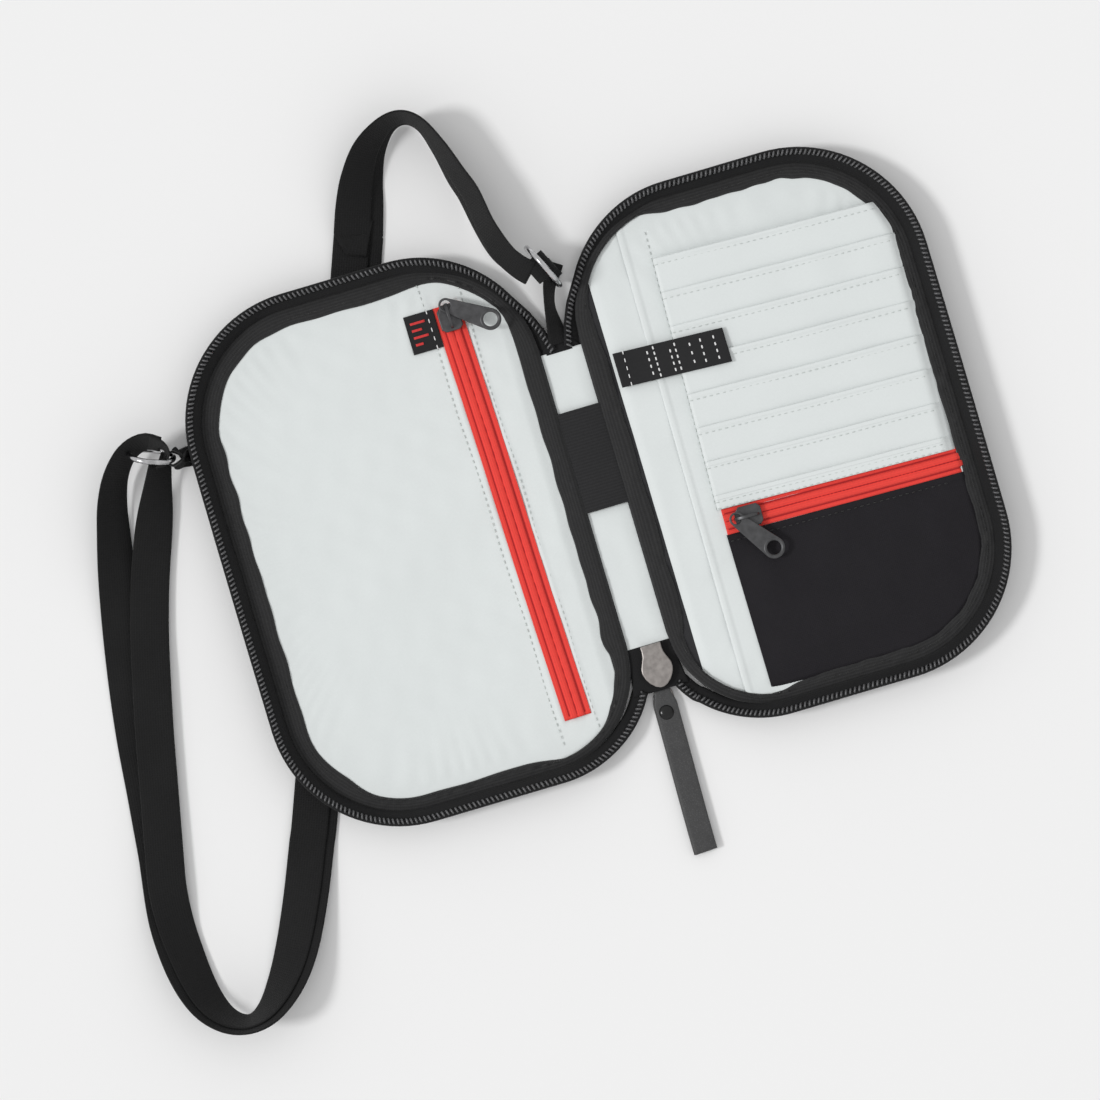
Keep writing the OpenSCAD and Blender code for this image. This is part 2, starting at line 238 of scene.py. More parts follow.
def quads(n: int, m: int, wrap_u: bool = False, wrap_v: bool = False) -> Array:
    """Faces of an n by m grid of points, joined end to end where asked."""
    i = np.arange(n if wrap_u else n - 1)
    j = np.arange(m if wrap_v else m - 1)
    i, j = np.meshgrid(i, j, indexing="ij")
    i2, j2 = (i + 1) % n, (j + 1) % m
    return np.stack([i * m + j, i2 * m + j, i2 * m + j2, i * m + j2], -1).reshape(-1, 4)


def tube(name: str, grid: Array, closed_path: bool = False, uv: Array | None = None
         ) -> bpy.types.Object:
    """Closed skin over an (n, m, 3) grid whose second direction goes round the section."""
    n, m, _ = grid.shape
    faces = quads(n, m, wrap_u=closed_path, wrap_v=True).tolist()
    if not closed_path:
        faces += [list(range(m)), list(range((n - 1) * m, n * m))[::-1]]
    flat_uv = None if uv is None else uv.reshape(-1, 2)
    return make_object(name, grid.reshape(-1, 3), faces, flat_uv, outward=True)


def shell(name: str, top: Array, thickness: float | Array, bottom: Array | None = None
          ) -> bpy.types.Object:
    """Closed sheet: an (n, m, 3) upper grid, a lower one beneath it and a rim between them.

    Args:
        name: piece name.
        top: upper surface.
        thickness: distance straight down to the lower surface.
        bottom: lower surface, where it isn't the upper one moved down.
    """
    n, m, _ = top.shape
    if bottom is None:
        bottom = top.copy()
        bottom[..., 2] -= thickness
    upper = quads(n, m)
    size = n * m
    rim_index = np.concatenate([
        np.arange(m), np.arange(1, n) * m + m - 1,
        (n - 1) * m + np.arange(m - 2, -1, -1), np.arange(n - 2, 0, -1) * m])
    nxt = np.roll(rim_index, -1)
    rim = np.stack([rim_index, nxt, nxt + size, rim_index + size], 1)
    faces = np.vstack([upper, upper[:, ::-1] + size, rim])
    verts = np.vstack([top.reshape(-1, 3), bottom.reshape(-1, 3)])
    return make_object(name, verts, faces, verts[:, :2], outward=True)


def band(name: str, route: Array, width: Array | float, thickness: float, lift: float = 0.0
         ) -> bpy.types.Object:
    """Flat strap along a route of (x, y, z, roll in degrees) points.

    The section is a rounded bar: across = w/2 * cos(a), up = t/2 * sin(a), with the cosine raised
    to a small power so that the faces are flat and the edges round.
    """
    n = len(route)
    d = np.gradient(route[:, :3], axis=0)
    level = unit(points(-d[:, 1], d[:, 0], 0.0))
    up0 = np.cross(unit(d), level)
    roll = np.radians(route[:, 3])[:, None]
    across = level * np.cos(roll) + up0 * np.sin(roll)
    up = up0 * np.cos(roll) - level * np.sin(roll)
    a = circle(28)
    sx, sz = squared(np.cos(a), 0.32), squared(np.sin(a), 0.5)
    w = np.broadcast_to(np.asarray(width, float), (n,))[:, None]
    grid = (route[:, None, :3] + across[:, None] * (sx * w / 2)[..., None]
            + up[:, None] * (sz * thickness / 2 + lift)[None, :, None])
    step = np.concatenate([[0], np.cumsum(np.linalg.norm(np.diff(route[:, :3], axis=0), axis=1))])
    return tube(name, grid, uv=points(step[:, None], sx[None] * w / 2))


def capsules(name: str, centres: Array, angles: Array, length: float, radius: float
             ) -> bpy.types.Object:
    """Many small thread stitches: six-sided pills turned about Z.

    Args:
        name: piece name.
        centres: (k, 3) places.
        angles: direction of each stitch in plan, in radians.
        length, radius: size of one stitch.
    """
    rings = np.array([-0.5, -0.34, 0.34, 0.5]) * length
    fat = np.array([0.35, 1.0, 1.0, 0.35]) * radius
    a = circle(6)
    base = np.stack([
        np.repeat(rings, 6), (fat[:, None] * np.cos(a)).ravel(), (fat[:, None] * np.sin(a)).ravel()
    ], 1)
    c, s = np.cos(angles)[:, None], np.sin(angles)[:, None]
    x = base[:, 0] * c - base[:, 1] * s
    y = base[:, 0] * s + base[:, 1] * c
    verts = np.stack([x, y, np.broadcast_to(base[:, 2], x.shape)], -1) + centres[:, None]
    one = quads(4, 6, wrap_v=True).tolist()
    ends = [[0, 1, 2, 3, 4, 5], [23, 22, 21, 20, 19, 18]]
    shift = np.arange(len(centres)) * 24
    faces = [[v + s for v in f] for s in shift.tolist() for f in one + ends]
    return make_object(name, verts.reshape(-1, 3), faces, outward=True)


def softened(loop: Array, count: int) -> Array:
    """Closed loop of count - 1 even points, with each corner averaged with its neighbours."""
    line = evenly(np.vstack([loop, loop[:1]]), count)[:-1]
    return 0.25 * np.roll(line, 1, 0) + 0.5 * line + 0.25 * np.roll(line, -1, 0)


def stitch_row(line: Array, pitch: float) -> tuple[Array, Array]:
    """Places and directions of stitches along a line of (x, y, z) points."""
    count = max(int(length_of(line) / pitch), 2)
    p = evenly(line, count)
    d = np.gradient(p, axis=0)
    return p, np.arctan2(d[:, 1], d[:, 0])


def sew(name: str, rows: list[Array], pitch: float, length: float, radius: float
        ) -> bpy.types.Object:
    """One piece of thread made of several stitch rows."""
    parts = [stitch_row(row, pitch) for row in rows]
    return capsules(name, np.vstack([p for p, _ in parts]),
                    np.concatenate([a for _, a in parts]), length, radius)


def plate(name: str, loops: list[Array], z: float, thickness: float, bevel: float
          ) -> bpy.types.Object:
    """Plate with round edges: plan loops filled between, the first outside and the rest holes."""
    curve = bpy.data.curves.new(name, "CURVE")
    curve.dimensions = "2D"
    curve.fill_mode = "BOTH"
    curve.extrude = (thickness / 2 - bevel) * MM
    curve.bevel_depth = bevel * MM
    curve.bevel_resolution = 3
    curve.offset = -bevel * MM
    for loop in loops:
        spline = curve.splines.new("POLY")
        spline.points.add(len(loop) - 1)
        flat = np.zeros((len(loop), 4))
        flat[:, :2] = loop * MM
        flat[:, 3] = 1
        spline.points.foreach_set("co", flat.ravel())
        spline.use_cyclic_u = True
    holder = linked(name + "_outline", curve)
    bpy.context.view_layer.update()
    mesh = bpy.data.meshes.new_from_object(holder.evaluated_get(
        bpy.context.evaluated_depsgraph_get()))
    bpy.data.objects.remove(holder)
    bpy.data.curves.remove(curve)
    bm = bmesh.new()
    bm.from_mesh(mesh)
    bmesh.ops.remove_doubles(bm, verts=bm.verts, dist=1e-6)
    bmesh.ops.translate(bm, verts=bm.verts, vec=(0, 0, z * MM))
    bmesh.ops.recalc_face_normals(bm, faces=bm.faces)
    bm.to_mesh(mesh)
    bm.free()
    mesh.name = name
    return linked(name, mesh)


def torus(name: str, centre: Array, direction: float, r: float, wire: float, tilt: float = 0.0
          ) -> bpy.types.Object:
    """Standing wire ring: a circle of radius r in the upright plane at that plan direction.

    The tilt, in degrees, leans the ring over about its own level diameter.
    """
    a = circle(72)[:, None]
    b = circle(18)[None]
    out = r + wire * np.cos(b)
    u, flat, high = out * np.cos(a), wire * np.sin(b), out * np.sin(a)
    lean, rise = math.sin(math.radians(tilt)), math.cos(math.radians(tilt))
    w, z = flat * rise + high * lean, high * rise - flat * lean
    return tube(name, points(*spin(u, w, direction), z) + centre, closed_path=True)


def dress(obj: bpy.types.Object, finish: str, body: str, slot: str, *nodes: str) -> None:
    """Gives a piece its finish and body, and hides the CAD nodes that it stands for."""
    obj.data.materials.clear()
    obj.data.materials.append(MATERIALS[finish])
    if body:
        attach(obj, body)
    if nodes:
        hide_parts(*nodes)
    LOG.info("%s: %d faces", obj.name, len(obj.data.polygons))


# ---------------------------------------------------------------- materials


def wave_scale(pitch: float) -> float:
    """Scale of a Wave texture whose bands lie pitch millimetres apart in metre coordinates."""
    return math.pi / (10 * pitch * MM)


class Tree:
    """Small helper that adds and links nodes in one tree."""

    def __init__(self, tree: bpy.types.NodeTree) -> None:
        """Keeps the tree that nodes are added to."""
        self.tree = tree

    def feed(self, node: bpy.types.Node, inputs: dict) -> None:
        """Gives a node's inputs their values, or links where the value is a socket."""
        for key, value in inputs.items():
            if isinstance(value, bpy.types.NodeSocket):
                self.tree.links.new(value, node.inputs[key])
            else:
                node.inputs[key].default_value = value

    def add(self, kind: str, inputs: dict | None = None, **props) -> bpy.types.Node:
        """Adds a shader node, sets its properties and feeds its inputs."""
        node = self.tree.nodes.new("ShaderNode" + kind)
        for key, value in props.items():
            setattr(node, key, value)
        self.feed(node, inputs or {})
        return node

    def maths(self, operation: str, a, b=0.0) -> bpy.types.NodeSocket:
        """Output of a Math node."""
        return self.add("Math", {0: a, 1: b}, operation=operation).outputs[0]

    def scaled(self, a, factor: float, offset: float = 0.0) -> bpy.types.NodeSocket:
        """The first value times a factor, plus an offset."""
        product = self.maths("MULTIPLY", a, factor)
        return self.maths("ADD", product, offset) if offset else product

    def wave(self, vector, scale, direction: str, distortion: float, detail: float
             ) -> bpy.types.NodeSocket:
        """Height of ridges that follow each other in one direction."""
        return self.add("TexWave", {"Vector": vector, "Scale": scale, "Distortion": distortion,
                                    "Detail": detail}, bands_direction=direction).outputs["Fac"]

    def noise(self, vector, scale, detail: float) -> bpy.types.NodeSocket:
        """Cloudy value from 0 to 1."""
        return self.add("TexNoise", {"Vector": vector, "Scale": scale, "Detail": detail}
                        ).outputs["Fac"]

    def group(self, name: str, inputs: dict) -> bpy.types.NodeOutputs:
        """Outputs of one of the shared groups."""
        return self.add("Group", inputs, node_tree=bpy.data.node_groups[name]).outputs

    def bump(self, height, strength: float, distance: float) -> bpy.types.NodeSocket:
        """Normal bent by a height."""
        return self.add("Bump", {"Height": height, "Strength": strength, "Distance": distance}
                        ).outputs["Normal"]

    def ramp(self, factor, stops: list[tuple[float, tuple]]) -> bpy.types.NodeSocket:
        """Colour output of a ramp with two stops."""
        node = self.add("ValToRGB", {"Fac": factor})
        for element, (place, colour) in zip(node.color_ramp.elements, stops):
            element.position = place
            element.color = colour
        return node.outputs["Color"]


def new_group(name: str, inputs: dict[str, float], outputs: tuple[str, ...]
              ) -> tuple[Tree, bpy.types.NodeOutputs, bpy.types.Node]:
    """Starts a shader group that takes a vector and some numbers, and gives numbers.

    Returns:
        The tree helper, the group's input sockets and its output node.
    """
    tree = bpy.data.node_groups.new(name, "ShaderNodeTree")
    tree.interface.new_socket("Vector", in_out="INPUT", socket_type="NodeSocketVector")
    for key, value in inputs.items():
        tree.interface.new_socket(
            key, in_out="INPUT", socket_type="NodeSocketFloat").default_value = value
    for key in outputs:
        tree.interface.new_socket(key, in_out="OUTPUT", socket_type="NodeSocketFloat")
    start, end = tree.nodes.new("NodeGroupInput"), tree.nodes.new("NodeGroupOutput")
    return Tree(tree), start.outputs, end


def weave_group() -> None:
    """Plain weave: warp and weft ridges that pass over each other in a chequer."""
    t, start, end = new_group("weave", {"Scale": 600.0}, ("Height", "Shade"))
    vector, scale = start["Vector"], start["Scale"]
    warp, weft = (t.wave(vector, scale, direction, 0.4, 1.0) for direction in "XY")
    checks = t.add("TexChecker", {
        "Vector": vector, "Color1": (1, 1, 1, 1), "Color2": (0, 0, 0, 1),
        "Scale": t.scaled(scale, 20 / TAU)}).outputs["Fac"]
    over = t.maths("MULTIPLY", warp, t.scaled(checks, 0.6, 0.4))
    under = t.maths("MULTIPLY", weft, t.maths("SUBTRACT", 1.0, t.scaled(checks, 0.6)))
    height = t.maths("MAXIMUM", over, under)
    fibre = t.noise(vector, t.scaled(scale, 1.6), 3.0)
    # Shade is the weave height plus fibre noise; used as colour it is painted shade in the thread
    # valleys and painted light on the raised threads, with random fibre tone
    t.feed(end, {"Height": height, "Shade": t.scaled(t.maths("ADD", height, fibre), 0.5)})


def rib_group() -> None:
    """Ribs along one direction of the surface, broken by fine cross threads."""
    t, start, end = new_group("ribs", {"Rib": 400.0, "Thread": 900.0}, ("Height", "Shade"))
    rib = t.wave(start["Vector"], start["Rib"], "Y", 0.6, 2.0)
    thread = t.wave(start["Vector"], start["Thread"], "X", 0.8, 2.0)
    height = t.maths("ADD", t.scaled(rib, 0.7), t.scaled(thread, 0.3))
    grain = t.noise(start["Vector"], 900.0, 4.0)
    # Shade is the rib height plus grain noise; used as colour it is painted shade in the rib
    # valleys and painted light on the raised ribs, with random grain tone
    t.feed(end, {"Height": height, "Shade": t.scaled(t.maths("ADD", height, grain), 0.5)})


def wear_group() -> None:
    """Handling marks: broad clouds and fine specks, both from 0 to 1."""
    t, start, end = new_group("wear", {"Cloud": 60.0, "Speck": 1500.0}, ("Clouds", "Specks"))
    t.feed(end, {"Clouds": t.noise(start["Vector"], start["Cloud"], 4.0),
                 "Specks": t.noise(start["Vector"], start["Speck"], 2.0)})


@dataclass(frozen=True)
class Finish:
    """Shared values of a finish; colours are linear."""

    name: str
    colour: tuple[float, float, float]
    roughness: float = 0.8

    def build(self) -> bpy.types.Material:
        """Makes the material with its colour and roughness, and then the finish's own detail."""
        material = bpy.data.materials.new(self.name)
        material.use_nodes = True
        t = Tree(material.node_tree)
        shader = t.tree.nodes["Principled BSDF"]
        t.feed(shader, {"Roughness": self.roughness, "Base Color": (*self.colour, 1)})
        t.feed(shader, self.detail(t, t.add("TexCoord").outputs["Object"]))
        return material

    def shaded(self, factor: float) -> tuple[float, float, float, float]:
        """The colour times a factor."""
        return (*(min(c * factor, 1.0) for c in self.colour), 1.0)

    def uneven(self, t: Tree, clouds, spread: float) -> bpy.types.NodeSocket:
        """Roughness that varies by a spread with the clouds."""
        return t.scaled(clouds, spread, self.roughness - spread / 2)


@dataclass(frozen=True)
class Cloth(Finish):
    """Woven cloth whose threads follow the piece's own flat coordinates or its place."""

    thread: float = 0.6
    bump: float = 0.3
    sheen: float = 0.2
    contrast: float = 0.25
    cloud: float = 0.08
    ribbed: bool = False
    along_surface: bool = True

    def detail(self, t: Tree, place) -> dict:
        """Weave, its colour (painted shade in the thread valleys and painted light on the raised
        threads, with fibre tone, wear specks and wear clouds), roughness and bump.
        """
        vector = place
        if self.along_surface:
            vector = t.add("UVMap", uv_map="UVMap").outputs["UV"]
        fine = wave_scale(self.thread)
        if self.ribbed:
            cloth = t.group("ribs", {"Vector": vector, "Rib": wave_scale(self.thread * 1.6),
                                     "Thread": fine})
        else:
            cloth = t.group("weave", {"Vector": vector, "Scale": fine})
        wear = t.group("wear", {"Vector": place})
        # The weave's shade sets the colour: painted shade in the thread valleys and painted light
        # on the raised threads; the specks are wear
        mix = t.maths("ADD", t.scaled(cloth["Shade"], 0.75), t.scaled(wear["Specks"], 0.25))
        colour = t.ramp(mix, [(0.2, self.shaded(1 - self.contrast)),
                              (0.8, self.shaded(1 + self.contrast))])
        factor, first, second = 0, 6, 7
        tint = t.add("Mix", {factor: t.scaled(wear["Clouds"], self.cloud * 2), first: colour,
                             second: self.shaded(0.6)}, data_type="RGBA")
        return {"Sheen Weight": self.sheen, "Sheen Roughness": 0.5, "Specular IOR Level": 0.25,
                "Base Color": tint.outputs[2],
                "Roughness": self.uneven(t, wear["Clouds"], 0.16),
                "Normal": t.bump(cloth["Height"], self.bump, 0.0002)}


@dataclass(frozen=True)
class Metal(Finish):
    """Cast or plated metal with cloudy tone, cloudy roughness and tiny pits."""

    metallic: float = 1.0
    grain: float = 0.15

    def detail(self, t: Tree, place) -> dict:
        """Uneven gloss and tiny pits."""
        wear = t.group("wear", {"Vector": place, "Cloud": 400.0, "Speck": 2500.0})
        colour = t.ramp(wear["Clouds"], [(0.3, self.shaded(0.8)), (0.7, self.shaded(1.2))])
        return {"Metallic": self.metallic, "Base Color": colour,
                "Roughness": self.uneven(t, wear["Clouds"], self.grain),
                "Normal": t.bump(wear["Specks"], 0.06, 0.0001)}


@dataclass(frozen=True)
class Leather(Finish):
    """Pebbled leather: cells with painted shade in their valleys and a painted highlight on their
    tops.
    """

    pebble: float = 0.7

    def detail(self, t: Tree, place) -> dict:
        """Pebbles from cell distance and fine noise."""
        cells = t.add("TexVoronoi", {"Vector": place, "Scale": 1 / (self.pebble * MM)},
                      feature="DISTANCE_TO_EDGE").outputs["Distance"]
        wear = t.group("wear", {"Vector": place, "Cloud": 250.0})
        # Colour from the cells: painted shade in the valleys and a painted highlight on the pebble
        # tops, with cloudy tone from the wear clouds
        colour = t.ramp(t.maths("ADD", cells, t.scaled(wear["Clouds"], 0.3)),
                        [(0.12, self.shaded(0.6)), (0.5, self.shaded(1.15))])
        return {"Base Color": colour, "Normal": t.bump(cells, 0.5, 0.0002)}


@dataclass(frozen=True)
class Plastic(Finish):
    """Nylon or moulded plastic with a soft gloss and cloudy roughness."""

    coat: float = 0.2

    def detail(self, t: Tree, place) -> dict:
        """Clear coat, cloudy roughness and specks."""
        wear = t.group("wear", {"Vector": place, "Cloud": 500.0})
        colour = t.ramp(wear["Specks"], [(0.3, self.shaded(0.8)), (0.7, self.shaded(1.2))])
        return {"Coat Weight": self.coat, "Coat Roughness": 0.3, "Base Color": colour,
                "Roughness": self.uneven(t, wear["Clouds"], 0.2)}


FINISHES = (
    Cloth("cover_nylon", (0.022, 0.022, 0.024), 0.75, thread=0.7, along_surface=False),
    Cloth("lining_mint", (0.72, 0.755, 0.75), 0.62, thread=0.45, bump=0.08, sheen=0.1,
          contrast=0.03, cloud=0.05, along_surface=False),
    Cloth("zip_tape_black", (0.0075, 0.0075, 0.008), sheen=0.05, along_surface=False),
    Cloth("binding_grey", (0.024, 0.024, 0.0245), 0.85, thread=0.7, bump=0.5, ribbed=True,
          contrast=0.4, sheen=0.1),
    Cloth("zip_red", (0.80, 0.055, 0.042), 0.7, thread=0.55, bump=0.35, sheen=0.1,
          contrast=0.14, cloud=0.05, ribbed=True),
    # Darker red for the strips laid in the zip grooves: painted shade
    Cloth("zip_red_painted_shade", (0.42, 0.014, 0.016), 0.7, thread=0.5, sheen=0.05, contrast=0.2,
          ribbed=True),
    Cloth("label_black", (0.014, 0.014, 0.015), thread=0.4, bump=0.4, along_surface=False),
    Cloth("label_mark", (0.62, 0.04, 0.04), thread=0.4, along_surface=False),
    Cloth("webbing_black", (0.0068, 0.0068, 0.007), thread=0.9, bump=0.55, contrast=0.5,
          sheen=0.06),
    Cloth("elastic_black", (0.016, 0.016, 0.017), thread=0.7, bump=0.5, ribbed=True,
          contrast=0.4),
    Cloth("pocket_black", (0.0085, 0.0073, 0.0098), 0.75, thread=0.7, contrast=0.3, sheen=0.06,
          along_surface=False),
    Cloth("thread_pale", (0.60, 0.64, 0.62), 0.7, thread=0.3, along_surface=False),
    Cloth("thread_white", (0.85, 0.85, 0.85), 0.7, thread=0.3, along_surface=False),
    Cloth("thread_black", (0.02, 0.02, 0.02), 0.7, thread=0.3, along_surface=False),
    # The coil's colour is a lighter grey than its black nylon: a painted highlight standing in for
    # the glints on the wire
    Plastic("coil_black", (0.075, 0.075, 0.078), 0.3, coat=0.5),
    Plastic("plastic_black", (0.02, 0.02, 0.02), 0.45),
    Metal("gunmetal", (0.085, 0.085, 0.088), 0.42, metallic=0.75),
    Metal("slider_grey", (0.33, 0.305, 0.29), 0.38, metallic=0.8),
    Metal("rivet_black", (0.02, 0.02, 0.02), 0.22, metallic=0.6),
    Metal("nickel", (0.55, 0.55, 0.56), 0.2),
    Leather("leather_grey", (0.05, 0.05, 0.051), 0.55),
)


def build_materials() -> None:
    """Makes the shared groups and then every finish of the pouch, once."""
    weave_group()
    rib_group()
    wear_group()
    for finish in FINISHES:
        MATERIALS[finish.name] = finish.build()


# ---------------------------------------------------------------- the pouch


@dataclass
class Half:
    """One half of the pouch: padded cover, zip edge, binding and lining base.

    Sizes are in millimetres, in the half's own positive x.
    """

    side: Side
    width: float
    corner: float
    top: float = 99.0
    bottom: float = -99.8
    band_reach: float = 4.3
    spine_trim: float = 1.0
    corner_trim: float = 2.2
    low_trim: float = 0.0
    coil_pitch: float = 1.7

    def pad_loop(self, inset: float) -> Array:
        """Closed outline of the padded panel, as four arcs at this inset from the zip edge."""
        return np.vstack([
            arc(49.4, self.top - 46, 46 - inset, 180, 90), *self.outer_arcs(inset),
            arc(44.4, self.bottom + 41.0, 41.0 - inset, -90, -180)])

    def outer_arcs(self, inset: float) -> list[Array]:
        """The two corner arcs away from the spine."""
        x, r = self.width - self.corner, self.corner
        return [arc(x, self.top - r, r - inset, 90, 0), arc(x, self.bottom + r, r - inset, 0, -90)]

    def side_limit(self, y: Array, inset: float) -> Array:
        """Outer x of the outline at height y: centre + sqrt(r^2 - h^2) beyond the corners."""
        r = self.corner - inset
        h = np.maximum(y - (self.top - self.corner), self.bottom + self.corner - y)
        return self.width - self.corner + np.sqrt(np.clip(r**2 - np.clip(h, 0, r) ** 2, 0, None))

    def zip_line(self, count: int) -> Array:
        """Open plan line of the zip edge, from its meeting point on the spine and back to it."""
        vee_top = np.array([[1.4, 52.0], [3.6, 60.0], [6.6, 67.0]])
        vee_low = np.array([[9.7, -84.6], [7.3, -81.4], [5.0, -77.6]])
        line = np.vstack([
            vee_top, arc(52, self.top - 46, 46, 150, 90), *self.outer_arcs(0),
            arc(43, self.bottom + 44, 44, -90, -135), vee_low])
        return evenly(line, count)

    def coil_height(self, x: Array) -> Array:
        """Height of the zip chain: low on the spine and rising in two smooth steps."""
        return 3.2 + 3.35 * smooth((x - 5) / 14) + 4.1 * smooth((x - 18) / 24)

    def place(self, grid: Array) -> Array:
        """Bows the long side out a little and moves the shape to its own side."""
        out = grid.copy()
        x, y = grid[..., 0], grid[..., 1]
        out[..., 0] = x + 0.5 * smooth((x - 60) / 80) * (1 - (y / 99) ** 2)
        out[..., 0] *= self.side.value
        return out

    @staticmethod
    def spine_drop(x: Array) -> Array:
        """How far the inner layers sink towards the spine."""
        return 1.2 * smooth((19.5 - x) / 5.5)

    def region(self, inset: float, nx: int, ny: int, x_from: float = -1e9
               ) -> tuple[Array, Array]:
        """Columns of points that fill the padded outline.

        Returns:
            x and y as (nx, ny) arrays; each column runs from the lower to the upper outline.
        """
        loop = self.pad_loop(inset)
        upper, lower = loop[:48], loop[48:][::-1]
        x0, x1 = max(loop[:, 0].min(), x_from), loop[:, 0].max()
        t = 0.5 - 0.5 * np.cos(np.linspace(0, math.pi, nx))
        t = 0.55 * t + 0.45 * np.linspace(0, 1, nx)
        x = x0 + (x1 - x0) * t
        high = np.interp(x, upper[:, 0], upper[:, 1])
        low = np.interp(x, lower[:, 0], lower[:, 1])
        v = np.linspace(0, 1, ny)
        y = low[:, None] + (high - low)[:, None] * v
        return np.broadcast_to(x[:, None], (nx, ny)).copy(), y

    def edge_distance(self, x: Array, y: Array, inset: float) -> Array:
        """Distance from each point to the padded outline."""
        loop = evenly(self.closed(self.pad_loop(inset)), 400)
        flat = points(x.ravel(), y.ravel())
        d = np.linalg.norm(flat[:, None] - loop[None], axis=2).min(1)
        return d.reshape(x.shape)

    @staticmethod
    def closed(loop: Array) -> Array:
        """The loop with its first point repeated at the end."""
        return np.vstack([loop, loop[:1]])

    def bend_at_fold(self, obj: bpy.types.Object) -> None:
        """Bakes the piece's placement into its mesh, alike for both halves."""
        if self.side is Side.LEFT:
            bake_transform(obj)
        else:
            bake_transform(obj)

    def build_cover(self, channel: tuple[Array, Array] | None) -> None:
        """Padded cover: flat underneath, rounded at its rim, pressed in where the strap lies."""
        x, y = self.region(4.2, 96, 150)
        rim = self.edge_distance(x, y, 4.2)
        low = 1.5 * (1 - np.sqrt(np.clip(1 - (1 - np.clip(rim / 2.2, 0, 1)) ** 2, 0, 1)))
        if channel is not None:
            (ax, ay), (bx, by) = channel
            across = np.abs((-x - ax) * (by - ay) - (y - ay) * (bx - ax)) / math.hypot(
                bx - ax, by - ay)
            low = np.maximum(low, 2.35 * smooth((11.4 - across) / 1.6))
        high = 3.55 - 0.6 * smooth(1 - rim / 2.0)
        bottom = self.place(points(x, y, low))
        top = self.place(points(x, y, np.maximum(high, low + 0.3)))
        obj = shell(f"{self.side.word}_cover_skin", top, 0, bottom)
        cover = "back" if self.side is Side.LEFT else "front"
        dress(obj, "cover_nylon", "", "cover_fabric", f"{cover}_cover", f"{cover}_foam")
        self.bend_at_fold(obj)

    def build_tape(self) -> None:
        """Zip tape: a soft wall that leans outwards from the cover seam up to the chain."""
        line = self.zip_line(520)
        n = plan_normals(line)
        z1 = self.coil_height(line[:, 0])[:, None] - 0.9
        z0 = np.minimum(3.3, z1 - 1.1)
        wave = ripple(line[:, 0], line[:, 1], 4, 22, 0.18)[:, None]
        t = np.array([0, 0.3, 0.62, 0.9, 1.0])
        lean = np.array([5.4, 4.9, 3.9, 2.6, 1.5])
        inset = np.concatenate([lean, lean[::-1] + 0.55])[None] + wave * np.concatenate(
            [t * (1 - t) * 4, (t * (1 - t) * 4)[::-1]])
        height = z0 + (z1 - z0) * np.concatenate([t, t[::-1]])
        grid = raised(line[:, None] + n[:, None] * inset[..., None], height)
        obj = tube(f"{self.side.word}_zip_tape_cloth", self.place(grid))
        dress(obj, "zip_tape_black", "", "zip_black", f"{self.side.word}_zip_tape")
        self.bend_at_fold(obj)

    def build_chain(self) -> None:
        """Zip chain: a nylon wire wound in a flat coil along the zip edge."""
        total = length_of(self.zip_line(600))
        turns = int(total / self.coil_pitch)
        steps = 12
        line = self.zip_line(turns * steps + 1)
        n = plan_normals(line)
        a = TAU * np.arange(len(line)) / steps
        up = np.array([0, 0, 1.0])
        side = raised(n, 0.0)
        centre = raised(line, self.coil_height(line[:, 0])) + side * 1.75
        helix = centre + side * (0.85 * np.cos(a))[:, None] + up * (0.8 * np.sin(a))[:, None]
        d = unit(np.gradient(helix, axis=0))
        out = side * np.cos(a)[:, None] + up * np.sin(a)[:, None]
        out = unit(out - d * (out * d).sum(1, keepdims=True))
        other = np.cross(d, out)
        b = circle(5)
        grid = helix[:, None] + 0.42 * (out[:, None] * np.cos(b)[None, :, None]
                                        + other[:, None] * np.sin(b)[None, :, None])
        obj = tube(f"{self.side.word}_zip_coil", self.place(grid))
        dress(obj, "coil_black", "", "coil_black", f"{self.side.word}_zip_chain")
        self.bend_at_fold(obj)
        b = circle(12)
        line = self.zip_line(560)
        n = plan_normals(line)
        mid = raised(line + n * 0.95, self.coil_height(line[:, 0]) - 0.15)
        side = raised(n, 0.0)
        grid = (mid[:, None] + side[:, None] * (0.85 * np.cos(b))[None, :, None]
                + up * (0.95 * np.sin(b))[None, :, None])
        obj = tube(f"{self.side.word}_zip_cord", self.place(grid))
        dress(obj, "zip_tape_black", "", "zip_black")
        self.bend_at_fold(obj)

    def band_line(self, count: int) -> Array:
        """Middle line of the binding, all round the half."""
        return evenly(self.closed(self.pad_loop(7.7)), count + 1)[:-1]

